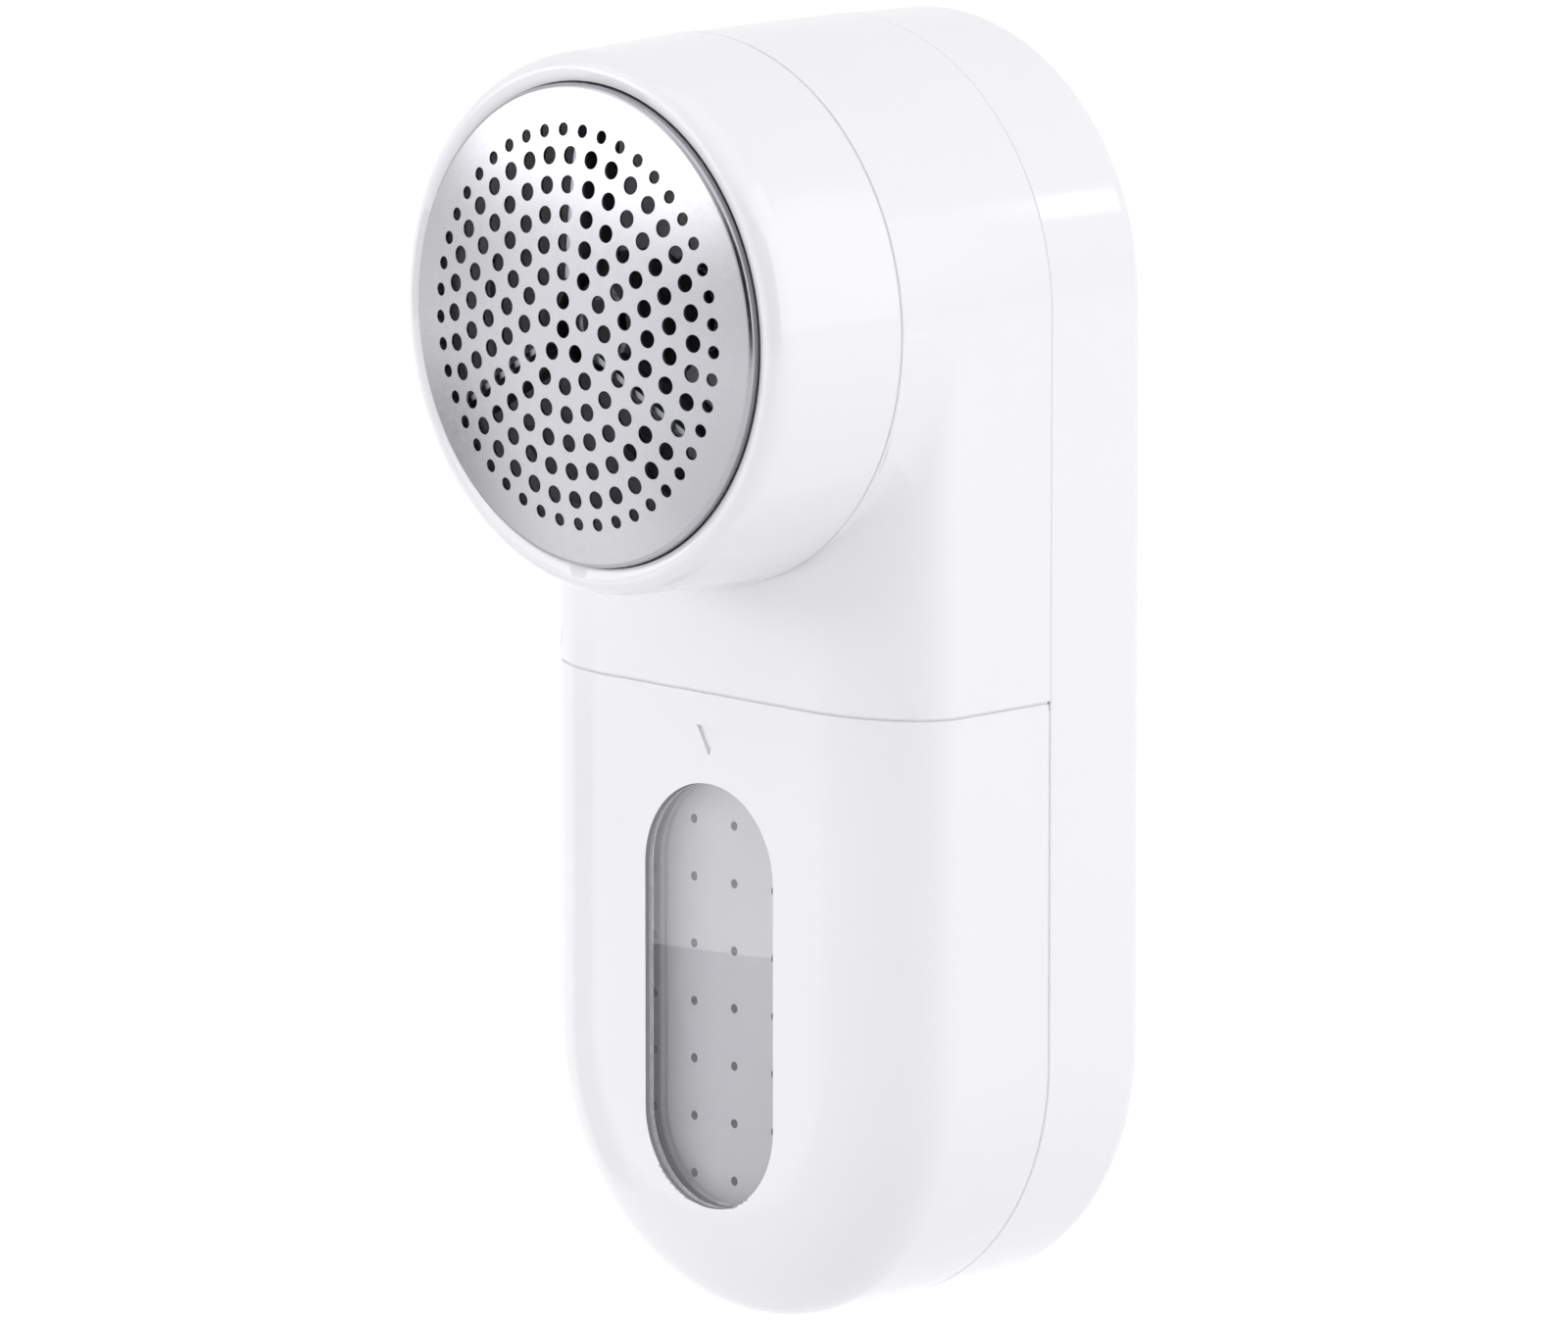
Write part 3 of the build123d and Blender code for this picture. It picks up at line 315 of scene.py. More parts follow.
def tail_field(x, y, z):
    """Signed distance to the lint box's outer form."""
    return side_field(np.where(z > tail, np.abs(x), np.hypot(x, z - tail)), y)[0]


def pill_field(x, y, z):
    """Signed distance to the rear cover's drafted side and rounded back edge."""
    along = np.where(z > 0, z, np.where(z < tail, z - tail, 0))
    spread = np.hypot(x, along)
    side = half_width - (y - part_line) * tan(radians(draft))
    y_round = -back_edge
    r_round = half_width - (y_round - part_line) * tan(radians(draft)) - back_edge
    corner = np.hypot(np.maximum(spread - r_round, 0), np.maximum(y - y_round, 0)) - back_edge
    return np.where(y > y_round, np.where(spread > r_round, corner, y), spread - side)


def mesh_values(items, label, width=1, kind=float):
    """This many numbers for each point, face or face corner of a mesh, as an array."""
    values = np.zeros(len(items) * width, kind)
    items.foreach_get(label, values)
    return values.reshape(-1, width) if width > 1 else values


def shade_by_form(piece, field, angle=30, step=0.02, near=0.03, agree=0.85):
    """Smooth shading whose normals come from the form itself.

    Only faces that lie this near to the form, and face nearly as it does, take its normals.
    """
    mesh = piece.data
    for face in mesh.polygons:
        face.use_smooth = True
    mesh.set_sharp_from_angle(angle=radians(angle))
    where = mesh_values(mesh.loops, "vertex_index", kind=np.int32)
    at = (mesh_values(mesh.vertices, "co", 3) / MM)[where].T
    totals = mesh_values(mesh.polygons, "loop_total", kind=np.int32)
    facing = np.repeat(mesh_values(mesh.polygons, "normal", 3), totals, axis=0)
    slopes = []
    for axis in range(3):
        move = np.zeros((3, 1))
        move[axis] = step
        slopes.append(field(*(at + move)) - field(*(at - move)))
    slopes = np.array(slopes).T
    slopes /= np.linalg.norm(slopes, axis=1)[:, None] + 1e-12
    on = (np.abs(field(*at)) < near) & ((slopes * facing).sum(1) > agree)
    mesh.normals_split_custom_set(np.where(on[:, None], slopes, 0).tolist())
    return piece


def line_faces(piece, material, chosen):
    """Give a second finish to the faces that are chosen."""
    piece.data.materials.append(material)
    for face in piece.data.polygons:
        if chosen(face):
            face.material_index = 1
    return piece


def rim_arc(size):
    """Points (inset, rise) of a small rounding, from the flat end to the side."""
    return [(size * (1 - sin(radians(a))), size * (1 - cos(radians(a)))) for a in range(0, 90, 18)]


def housing_outer():
    """Closed outer form of the front housing.

    Its lower half is one row for each turn about the drive axis, from the front face over the soft
    edge to the part line. The upper half is the plain round head.
    """
    ray_steps, deep, halvings = 40, 10, 45
    head_steps, head_deep = 120, 12
    corner = atan2(-foot, half_width)
    turns = np.unique(np.round(np.concatenate([
        np.linspace(0, corner, 61),
        np.linspace(corner, pi - corner, 73),
        np.linspace(pi - corner, pi, 61)]), 9))
    pivot_r, pivot_y, far = 15.0, -22.0, 60.0      # rays start inside the form and end far outside it
    rows = []
    for turn in turns:
        c, s = cos(turn), sin(turn)
        side = min(turn, pi - turn) <= corner + 1e-6
        reach = half_width / abs(c) if side else -foot / s
        spread = min(half_width, abs(reach * c))
        out_x = min(1, max(0, (spread - half_width + edge_x) / edge_x))
        back = front_face + edge_y * (1 - sqrt(1 - out_x ** 2))
        wall_x = min(1, max(0, (half_width * abs(c) - half_width + edge_x) / edge_x))
        rim = min(soft_edge, 0.4 * edge_y * (1 - sqrt(1 - wall_x ** 2)))
        first = atan2(front_face + rim - pivot_y, half_width - pivot_r)
        last = atan2(back - pivot_y, reach - pivot_r)
        rays = first + (last - first) * np.linspace(0, 1, ray_steps + 1)
        low, high = np.zeros(ray_steps + 1), np.full(ray_steps + 1, far)
        for _ in range(halvings):
            mid = (low + high) / 2
            r, y = pivot_r + np.cos(rays) * mid, pivot_y + np.sin(rays) * mid
            inside = housing_field(r * c, y, -r * s - tiny) < 0
            low, high = np.where(inside, mid, low), np.where(inside, high, mid)
        r, y = pivot_r + np.cos(rays) * low, pivot_y + np.sin(rays) * low
        r = np.minimum(r, half_width / max(abs(c), tiny))
        r[0], y[0] = half_width, front_face + rim
        r[-1], y[-1] = reach, back
        row = [((half_width - a) * c, front_face + b, -(half_width - a) * s) for a, b in rim_arc(rim)]
        row += [(a * c, b, -a * s) for a, b in zip(r, y)]
        x, y, z = row[-1]
        end = part_line - soft_edge if side else y
        row += [(x, y + (end - y) * j / deep, z) for j in range(1, deep + 1)]
        inward = soft_edge * np.sign(x) if side else 0
        row += [(x - inward * a / soft_edge, part_line - b if side else y, z)
                for a, b in reversed(rim_arc(soft_edge))]
        rows.append(row)
    points, faces = loft(rows, caps=(False, False), closed=False)
    line = [(a, front_face + b) for a, b in rim_arc(soft_edge)]
    line += [(0, front_face + soft_edge + (part_line - front_face - 2 * soft_edge) * j / head_deep)
             for j in range(head_deep + 1)]
    line += [(a, part_line - b) for a, b in reversed(rim_arc(soft_edge))]
    upper = []
    for i in range(head_steps + 1):
        c, s = cos(pi * i / head_steps), sin(pi * i / head_steps)
        upper.append([((half_width - a) * c, y, (half_width - a) * s) for a, y in line])
    more, more_faces = loft(upper, caps=(False, False), closed=False)
    faces += [tuple(k + len(points) for k in f) for f in more_faces]
    return points + more, faces


def close_ends(piece, low=None):
    """Fill the open flat ends of an outer form, and make the end at height low, if given, one face."""
    work = bmesh.new()
    work.from_mesh(piece.data)
    bmesh.ops.holes_fill(work, edges=[e for e in work.edges if e.is_boundary], sides=0)
    if low is not None:
        flat = [f for f in work.faces if all(abs(v.co.z - low * MM) < weld for v in f.verts)]
        bmesh.ops.dissolve_faces(work, faces=flat)
    bmesh.ops.recalc_face_normals(work, faces=work.faces)
    work.to_mesh(piece.data)
    work.free()
    return piece


def pill_ring(radius, y, steps=180):
    """Outline with round ends, one on the drive axis and one at the tail."""
    half = [(radius * cos(pi * i / steps), radius * sin(pi * i / steps)) for i in range(steps + 1)]
    return [(a, y, b) for a, b in half] + [(-a, y, tail - b) for a, b in half]


def rounded_pill(y_fore, y_back, radius, slope, back_radius, grow=0.005):
    """Closed pill with a small rounding at its front rim and a large one at its back.

    It is a hair larger than the CAD node that it shapes, so that no two faces lie in one place.
    """
    rings = []
    for a, b in arc((0, 0), (soft_edge, soft_edge), -90, 0, 5):
        rings.append(pill_ring(radius + grow - soft_edge + a, y_fore + soft_edge + b))
    drop = tan(radians(slope))
    y_round = y_back - back_radius
    at_round = radius + grow - (y_round - y_fore) * drop
    steps = 5
    for i in range(1, steps):
        y = y_fore + soft_edge + (y_round - y_fore - soft_edge) * i / steps
        rings.append(pill_ring(radius + grow - (y - y_fore) * drop, y))
    for a, b in arc((at_round - back_radius, y_round), (back_radius, back_radius + grow), 0, 90, 14):
        rings.append(pill_ring(a, b))
    return loft(rings)


def section(inset, y_back, edge_steps=40):
    """Body cross-section (x, y) from the left rear corner round the front to the right."""
    side = half_width - inset
    front = front_face + inset
    across, down = 8, 6
    centre = (half_width - edge_x, front_face + edge_y)
    right = arc(centre, (edge_x - inset, edge_y - inset), -90, 0, edge_steps)
    flat = [(centre[0] * i / across, front) for i in range(1 - across, across)]
    left = [(-x, y) for x, y in reversed(right)]
    backs = [y_back + (centre[1] - y_back) * i / down for i in range(down)]
    return [(-side, y) for y in backs] + left + flat + right + [(side, y) for y in reversed(backs)]


def body_ring(inset, y_back, z, edge_steps=40):
    """Body cross-section at one height."""
    return [(x, y, z) for x, y in section(inset, y_back, edge_steps)]


def tail_form(inset, y_back, z_top):
    """Form of the lint box, open at its back: straight sides, then round the tail."""
    levels, turns = 8, 180
    heights = [z_top + (tail - z_top) * i / levels for i in range(levels + 1)]
    straight = [body_ring(inset, y_back, z) for z in heights]
    count = len(straight[0])
    points, faces = loft(straight, caps=(True, False))
    faces = [f for f in faces if len(f) > 4 or not {count - 1, 0} <= {k % count for k in f}]
    right = [(x, y) for x, y in section(inset, y_back) if x > -tiny]
    turned = []
    for i in range(turns + 1):
        c, s = cos(pi * i / turns), sin(pi * i / turns)
        turned.append([(x * c, y, tail - x * s) for x, y in right])
    more, more_faces = loft(turned, caps=(False, False), closed=False)
    faces += [tuple(k + len(points) for k in f) for f in more_faces]
    return points + more, faces


def rounded_tail(z_top, y_back, grow=0.004):
    """Lint box's outer form with its seam edges rounded, a hair larger than the CAD node."""
    return soften(close_ends(mesh_piece("form", *tail_form(-grow, y_back, z_top))))


def hoop(outer, inner):
    """Band between two outlines, each given at the band's start and end."""
    return loft([outer[0], outer[1], inner[1], inner[0], outer[0]], caps=(False, False))


def add_lip(piece, node, push, band):
    """Lip inside a seam: the wall's own end, pushed towards the next part and kept inside a band."""
    end = node_copy("end", node)
    for point in end.data.vertices:
        point.co += Vector(push) * MM
    combine(end, band, "INTERSECT")
    combine(piece, end, "UNION")


def lint_box_shell(material, opening_shade):
    """Lint box: the CAD node inside its rounded form, with painted shade: a grey wall round the window's
    opening.
    """
    box = node_copy("lint_box_shell", "lint_box")
    combine(box, rounded_tail(split - seam, part_line - seam), "INTERSECT")
    shade_by_form(box, tail_field)
    low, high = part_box("lint_window")
    straight, centre = (high.z - low.z) / 2 - high.x, (low.z + high.z) / 2
    opening, slack = high.x - window_flange * MM, 0.12 * MM

    def on_opening(face):
        """A face of the opening's own wall, ahead of the pane's back."""
        x, y, z = face.center
        reach = hypot(x, max(abs(z - centre) - straight, 0))
        return abs(reach - opening) < slack and y < high.y

    finish_piece(box, material, "white_abs", "lint_box")
    # The opening's wall takes the mid grey finish: painted shade in the recess round the window.
    return line_faces(box, opening_shade, on_opening)


def rear_shell(material):
    """Rear cover: the CAD node inside its drafted form, and a lip at the seam beside the lint box."""
    cover = node_copy("rear_shell", "rear_cover")
    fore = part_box("rear_cover")[0].y / MM - 1
    outer = mesh_piece("form", *rounded_pill(part_line, 0, half_width, draft, back_edge))
    # What reaches forward into the housing stays inside a smaller outline.
    inner = [pill_ring(half_width - 1.2, y, 48) for y in (fore, part_line + 1)]
    combine(outer, mesh_piece("inner", *loft(inner)), "UNION")
    combine(cover, outer, "INTERSECT")
    edges = ([pill_ring(half_width - inset, y) for y in (part_line - lip, part_line + lap)]
             for inset in lip_inset)
    band = mesh_piece("band", *hoop(*edges))
    # The lip is only needed beside the lint box.
    corners = ((-40, -120), (40, -120), (40, split - 1), (-40, split - 1))
    below = [[(x, y, z) for x, z in corners] for y in (-20, -10)]
    combine(band, mesh_piece("below", *loft(below)), "INTERSECT")
    add_lip(cover, "rear_cover", (0, -lip, 0), band)
    shade_by_form(cover, pill_field)
    return finish_piece(cover, material, "white_abs", "rear_cover")


def housing_shell(material):
    """Front housing: the blended outer form outside, the CAD node's own walls and bosses inside.

    Lips stand inside its seams above the lint box and behind the head ring.
    """
    shell = close_ends(mesh_piece("housing_shell", *housing_outer(), "housing"), foot)
    # The form is cut to length with a moulded edge at the lint box, and is left alone above that.
    clear, wide, top = -0.03, -9, 40
    rings = [(soft_edge - b + clear, split + soft_edge + a)
             for a, b in arc((0, 0), (soft_edge, soft_edge), 180, 90, 5)]
    rings += [(clear, split + 1.2), (wide, split + 1.3), (wide, top)]
    form = [body_ring(inset, part_line + 1, z, 72) for inset, z in rings]
    combine(shell, mesh_piece("form", *loft(form)), "INTERSECT")
    # Everything deeper than about 1 mm comes from the CAD node.
    inside = node_copy("inside", "front_housing")
    for depth, target, operation in ((1.0, shell, "DIFFERENCE"), (0.95, inside, "INTERSECT")):
        round_core = [circle(half_width - depth, y) for y in (front_face - 1, part_line + 1)]
        prism = [body_ring(depth, part_line + 1, z) for z in (split + depth, 0)]
        core = mesh_piece("core", *loft(round_core))
        combine(core, mesh_piece("prism", *loft(prism)), "UNION")
        if target is shell:
            low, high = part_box("lint_chute")
            x0, y0, x1, y1 = low.x / MM - 0.2, low.y / MM - 0.2, high.x / MM + 0.2, high.y / MM + 0.2
            mouth = [[(x0, y0, z), (x1, y0, z), (x1, y1, z), (x0, y1, z)] for z in (split - 1, split + 2)]
            combine(core, mesh_piece("mouth", *loft(mouth)), "UNION")
        combine(target, core, operation)
    combine(shell, inside, "UNION")
    below = ([body_ring(inset, part_line - inset, z) for z in (split - lip, split + lap)]
             for inset in lip_inset)
    add_lip(shell, "front_housing", (0, 0, -lip), mesh_piece("band", *hoop(*below)))
    ahead = ([circle(half_width - inset, y) for y in (front_face - lip, front_face + lap)]
             for inset in lip_inset)
    add_lip(shell, "front_housing", (0, -lip, 0), mesh_piece("band", *hoop(*ahead)))
    shade_by_form(shell, housing_field)
    return finish_piece(shell, material, "white_abs", "front_housing")


def ring_side(y):
    """Radius of the head ring's tapered side."""
    return half_width - ring_taper * (ring_back - y) / (ring_back - crest - crest_round)


def ring_field(x, y, z):
    """Signed distance to the head ring's side and its soft front edge."""
    reach = np.hypot(x, z)
    shoulder, inset = crest + crest_round, crest_inset
    ex = (reach - ring_side(shoulder) + inset) / inset
    ey = (y - shoulder) / crest_round
    slope = 2 * np.hypot(ex / inset, ey / crest_round) + tiny
    on_edge = (y < shoulder) & (ex > 0)
    return np.where(on_edge, (ex ** 2 + ey ** 2 - 1) / slope, reach - ring_side(y))


def head_ring_shell(material):
    """Head ring: the CAD node's bore and lugs inside a softer outer form."""
    ring = node_copy("head_ring_shell", "head_ring")
    shoulder, grow = crest + crest_round, 0.004
    line = [(0, crest - grow)]
    line += arc((ring_side(shoulder) - crest_inset, shoulder),
                (crest_inset, crest_round + grow), -90, 0, 20)
    line += [(ring_side(y), y) for y in np.linspace(shoulder, ring_back - soft_edge, 10)[1:]]
    line += [(ring_side(ring_back) - a, ring_back - b) for a, b in reversed(rim_arc(soft_edge))]
    line += [(0, ring_back)]
    combine(ring, mesh_piece("form", *lathe(line, 240)), "INTERSECT")
    shade_by_form(ring, ring_field)
    return finish_piece(ring, material, "white_abs", "head_ring")


# ---------------------------------------------------------------- foil and filter


def foil_field(x, y, z):
    """Signed distance to the foil's domed face and the bend at its edge."""
    reach, ahead = np.hypot(x, z), crown + foil_sphere - y
    dome = np.hypot(reach, ahead) - foil_sphere
    bend = np.hypot(reach - foil_bend[0], y - foil_bend[1]) - foil_corner
    past = (reach > foil_bend[0]) & (reach - foil_bend[0] > (foil_bend[1] - y) * tan(acos(foil_lean)))
    return np.where(y > foil_bend[1], reach - foil_wall, np.where(past, bend, dome))


def drill_holes(name, holes, sizes):
    """Node tree that drills straight holes through a sheet, one set of holes at a time."""
    tree = bpy.data.node_groups.new(name, "GeometryNodeTree")
    tree.interface.new_socket("Sheet", in_out="INPUT", socket_type="NodeSocketGeometry")
    for label, value in sizes.items():
        kind = "NodeSocketMaterial" if label == "Finish" else "NodeSocketFloat"
        tree.interface.new_socket(label, in_out="INPUT", socket_type=kind).default_value = value
    tree.interface.new_socket("Sheet", in_out="OUTPUT", socket_type="NodeSocketGeometry")
    given = add(tree, "NodeGroupInput").outputs
    drills = add(tree, "GeometryNodeJoinGeometry")
    for made in holes(tree, given):
        tree.links.new(made.outputs[0], drills.inputs["Geometry"])
    solid = add(tree, "GeometryNodeRealizeInstances", {"Geometry": drills})
    cut = add(tree, "GeometryNodeMeshBoolean", {
        "Mesh 1": given["Sheet"], "Mesh 2": solid},
        operation="DIFFERENCE", solver="MANIFOLD")
    whole = add(tree, "GeometryNodeRealizeInstances", {"Geometry": cut})
    done = add(tree, "GeometryNodeSetMaterial", {"Geometry": whole, "Material": given["Finish"]})
    add(tree, "NodeGroupOutput", {"Sheet": done})
    return tree


def drilled(piece, tree, sizes):
    """Run a drilling tree on a sheet and keep the plain mesh that it makes."""
    drill = piece.modifiers.new("holes", "NODES")
    drill.node_group = tree
    for item in tree.interface.items_tree:
        if item.in_out == "INPUT" and item.name in sizes:
            drill[item.identifier] = sizes[item.name]
    return settle(piece)


def foil_holes(tree, given):
    """Rings of round holes about the drive axis, and a ring of smaller ones outside them."""
    def drill(diameter):
        """Rod through the sheet, along the drive axis."""
        radius = add(tree, "ShaderNodeMath", {0: diameter, 1: 0.5}, operation="MULTIPLY")
        rod = add(tree, "GeometryNodeMeshCylinder", {
            "Vertices": 24, "Radius": radius, "Depth": given["Drill length"]})
        place = add(tree, "ShaderNodeCombineXYZ", {"Y": given["Drill height"]})
        return add(tree, "GeometryNodeTransform", {
            "Geometry": rod, "Translation": place,
            "Rotation": (pi / 2, 0, 0)})

    wide, narrow = drill(given["Hole diameter"]), drill(given["Rim hole diameter"])
    yield wide
    # Holes in each ring from the middle out, and how far the ring is turned, in degrees.
    layout = ((5, 19), (12, 1), (18, 11), (24, 1), (30, 7), (36, 1), (45, 7))
    for number, (count, phase) in enumerate(layout, 1):
        rim = number == len(layout)
        ring = add(tree, "ShaderNodeMath", {0: given["Ring pitch"], 1: float(number)}, operation="MULTIPLY")
        outline = add(tree, "GeometryNodeMeshCircle", {
            "Vertices": count, "Radius": given["Rim ring radius"] if rim else ring})
        turned = add(tree, "GeometryNodeTransform", {
            "Geometry": outline, "Rotation": (pi / 2, -radians(phase), 0)})
        yield add(tree, "GeometryNodeInstanceOnPoints", {
            "Points": turned, "Instance": narrow if rim else wide})


def filter_holes(tree, given):
    """Rows and columns of small round holes, with a wider space after the second row."""
    across = 7
    radius = add(tree, "ShaderNodeMath", {0: given["Hole diameter"], 1: 0.5}, operation="MULTIPLY")
    rod = add(tree, "GeometryNodeMeshCylinder", {
        "Vertices": 20, "Radius": radius, "Depth": given["Drill length"]})
    turned = add(tree, "GeometryNodeTransform", {"Geometry": rod, "Rotation": (pi / 2, 0, 0)})
    wide = add(tree, "ShaderNodeMath", {0: given["Column pitch"], 1: across - 1.0}, operation="MULTIPLY")
    tall = add(tree, "ShaderNodeMath", {0: given["Row pitch"], 1: across - 1.0}, operation="MULTIPLY")
    grid = add(tree, "GeometryNodeMeshGrid", {
        "Size X": wide, "Size Y": tall, "Vertices X": across, "Vertices Y": across})
    half = add(tree, "ShaderNodeMath", {0: tall, 1: -0.5, 2: given["First row"]}, operation="MULTIPLY_ADD")
    place = add(tree, "ShaderNodeCombineXYZ", {
        "X": given["Column shift"], "Y": given["Plate height"], "Z": half})
    upright = add(tree, "GeometryNodeTransform", {
        "Geometry": grid, "Rotation": (pi / 2, 0, 0), "Translation": place})
    # Rows below this height move down by the rib's space.
    edge = add(tree, "ShaderNodeMath", {
        0: given["Row pitch"], 1: -1.5, 2: given["First row"]}, operation="MULTIPLY_ADD")
    height = add(tree, "ShaderNodeSeparateXYZ", {0: add(tree, "GeometryNodeInputPosition")})
    below = add(tree, "ShaderNodeMath", {0: height.outputs["Z"], 1: edge}, operation="LESS_THAN")
    drop = add(tree, "ShaderNodeMath", {0: below, 1: given["Rib space"]}, operation="MULTIPLY")
    down = add(tree, "ShaderNodeMath", {0: drop, 1: -1.0}, operation="MULTIPLY")
    shift = add(tree, "ShaderNodeCombineXYZ", {"Z": down})
    rows = add(tree, "GeometryNodeSetPosition", {"Geometry": upright, "Offset": shift})
    yield add(tree, "GeometryNodeInstanceOnPoints", {"Points": rows, "Instance": turned})


def foil_screen(material):
    """Domed sheet drawn over a bend into a short wall and a flange, then drilled."""
    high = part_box("shaving_foil")[1]
    back, rim = high.y / MM, high.x / MM
    lean = acos(foil_lean)
    flange, bend = back - foil_sheet, 0.3

    def dome(radius, steps):
        """The dome's profile, from its crown outwards."""
        return [(radius * sin(lean * i / steps), crown + foil_sphere - radius * cos(lean * i / steps))
                for i in range(steps + 1)]

    def corner(radius, steps):
        """The profile of the bend that follows it."""
        return [(foil_bend[0] + radius * sin(a), foil_bend[1] - radius * cos(a))
                for a in (lean + (pi / 2 - lean) * i / steps for i in range(1, steps + 1))]

    line = dome(foil_sphere, 48) + corner(foil_corner, 8)
    line += arc((foil_wall + bend, flange - bend), (bend, bend), 180, 90, 5)
    line += [(rim, flange), (rim, back)]
    line += arc((foil_wall + bend, flange - bend), (bend + foil_sheet, bend + foil_sheet), 90, 180, 5)
    line += corner(foil_corner - foil_sheet, 6)[::-1] + dome(foil_sphere - foil_sheet, 24)[::-1]
    foil = mesh_piece("foil_screen", *lathe(line, 180), "foil_cap")
    sizes = {"Ring pitch": 3.0 * MM, "Hole diameter": 1.9 * MM, "Rim ring radius": 20.6 * MM,
             "Rim hole diameter": 1.4 * MM, "Drill height": -55.6 * MM, "Drill length": 6 * MM,
             "Finish": material}
    drilled(foil, drill_holes("foil perforations", foil_holes, sizes), sizes)
    shade_by_form(foil, foil_field)
    return finish_piece(foil, material, "foil_steel", "shaving_foil")


def filter_plate(material, hole_shade):
    """Flat plate with a round tail and rows of holes, whose walls carry painted shade: a dark grey finish.

    The holes stand a little to the right of the CAD plate's, because the clear pane bends the view.
    """
    low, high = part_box("lint_filter")
    fore, back, top, half = low.y / MM, high.y / MM, high.z / MM, high.x / MM
    steps = 96
    outline = [(half * cos(pi * i / steps), tail - half * sin(pi * i / steps)) for i in range(steps + 1)]
    outline += [(-half, top), (half, top)]
    form = [[(x, y, z) for x, z in outline] for y in (fore, back)]
    plate = mesh_piece("filter_plate", *loft(form), "lint_box")
    sizes = {"Hole diameter": 1.0 * MM, "Column pitch": 6.1 * MM, "Row pitch": 6.2 * MM,
             "Rib space": 1.0 * MM, "First row": -55.3 * MM, "Column shift": 0.75 * MM,
             "Plate height": (fore + back) / 2 * MM, "Drill length": 3 * MM, "Finish": material}
    drilled(plate, drill_holes("filter perforations", filter_holes, sizes), sizes)
    finish_piece(smooth(plate), material, "filter_plastic", "lint_filter")
    rim = 0.05

    def in_hole(face):
        """A face of a hole's wall, and not of the plate's own edge."""
        x, _, z = face.center
        inner = hypot(x, min(z - tail * MM, 0)) < (half - rim) * MM and z < (top - rim) * MM
        return abs(face.normal.y) < 0.5 and inner

    # The holes' walls take the dark finish: painted shade inside the holes.
    return line_faces(plate, hole_shade, in_hole)


def float_spring(material):
    """Coil behind the blades, smooth shaded, with a mesh of its own. In the shaver it shortens towards the
    drive sleeve when they are pushed back; nothing here shortens it.
    """
    spring = smooth(node_copy("float_spring", "blade_spring"))
    finish_piece(spring, material, "spring_steel", "blade_spring")
    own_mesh(spring)
    return spring


# ---------------------------------------------------------------- finishes


def colour(code):
    """Linear colour of an sRGB hex value."""
    parts = [int(code[i:i + 2], 16) / 255 for i in (1, 3, 5)]
    return tuple(c / 12.92 if c <= 0.04045 else ((c + 0.055) / 1.055) ** 2.4 for c in parts) + (1.0,)


def per(size):
    """Scale of a pattern that repeats every so many millimetres, on coordinates in metres."""
    return 1000.0 / size


def blank(name):
    """New material with an empty tree, and its object coordinates."""
    material = bpy.data.materials.new(name)
    material.use_nodes = True
    tree = material.node_tree
    tree.nodes.clear()
    return material, tree, add(tree, "ShaderNodeTexCoord").outputs["Object"]


def drifting(tree, place, size, detail, tints):
    """Colour that drifts softly between two tints, over this many millimetres."""
    drift = add(tree, "ShaderNodeTexNoise", {"Vector": place, "Scale": per(size), "Detail": detail})
    return add(tree, "ShaderNodeMix", {0: drift, 6: colour(tints[0]), 7: colour(tints[1])},
               data_type="RGBA").outputs[2]


def surface(tree, tint, marks, depth, more, rough=None):
    """Close a material's tree: its fine marks set its relief, and its gloss if a range is given."""
    if rough:
        gloss = add(tree, "ShaderNodeMapRange", {
            "Value": marks, "From Min": 0.3, "From Max": 0.7, "To Min": rough[0], "To Max": rough[1]})
        more = {**more, "Roughness": gloss}
    relief = add(tree, "ShaderNodeBump", {"Height": marks, "Strength": 1.0, "Distance": depth * MM})
    skin = add(tree, "ShaderNodeBsdfPrincipled", {"Base Color": tint, "Normal": relief, **more})
    add(tree, "ShaderNodeOutputMaterial", {"Surface": skin})


def moulded(name, body, shade, rough, grain, depth):
    """Injection-moulded plastic: its colour drifts a little, and its fine grain is in gloss and bump."""
    material, tree, place = blank(name)
    tint = drifting(tree, place, 26, 2.0, (body, shade))
    fine = add(tree, "ShaderNodeTexNoise", {"Vector": place, "Scale": per(grain), "Detail": 3.0})
    surface(tree, tint, fine, depth, {"IOR": 1.54}, rough)
    return material


def worked_metal(name, body, shade, rough, marks, depth):
    """Metal whose marks are as long along X, Y and Z as given in millimetres."""
    material, tree, place = blank(name)
    drawn = add(tree, "ShaderNodeMapping", {"Vector": place, "Scale": tuple(per(m) for m in marks)})
    lines = add(tree, "ShaderNodeTexNoise", {"Vector": drawn, "Scale": 1.0, "Detail": 4.0})
    tint = drifting(tree, place, 9, 3.0, (body, shade))
    surface(tree, tint, lines, depth, {"Metallic": 1.0}, rough)
    return material


def wound_copper():
    """Enamelled copper wire: amber varnish over copper, with light and dark bands across the winding.

    The bands are about 3 mm apart, and stand for turns of 0.25 mm wire, which are too fine to show.
    """
    material, tree, place = blank("enamelled copper wire, wound")
    turns = add(tree, "ShaderNodeTexWave", {
        "Vector": place, "Scale": per(0.5) / 20, "Distortion": 1.5, "Detail": 1.0},
        wave_type="BANDS", bands_direction="Z")
    tint = add(tree, "ShaderNodeMix", {0: turns.outputs[1], 6: colour("#7A3A1C"), 7: colour("#C47A4A")},
               data_type="RGBA")
    surface(tree, tint.outputs[2], turns.outputs[1], 0.05, {
        "Metallic": 1.0, "Roughness": 0.32, "Coat Weight": 0.6, "Coat Roughness": 0.1})
    return material


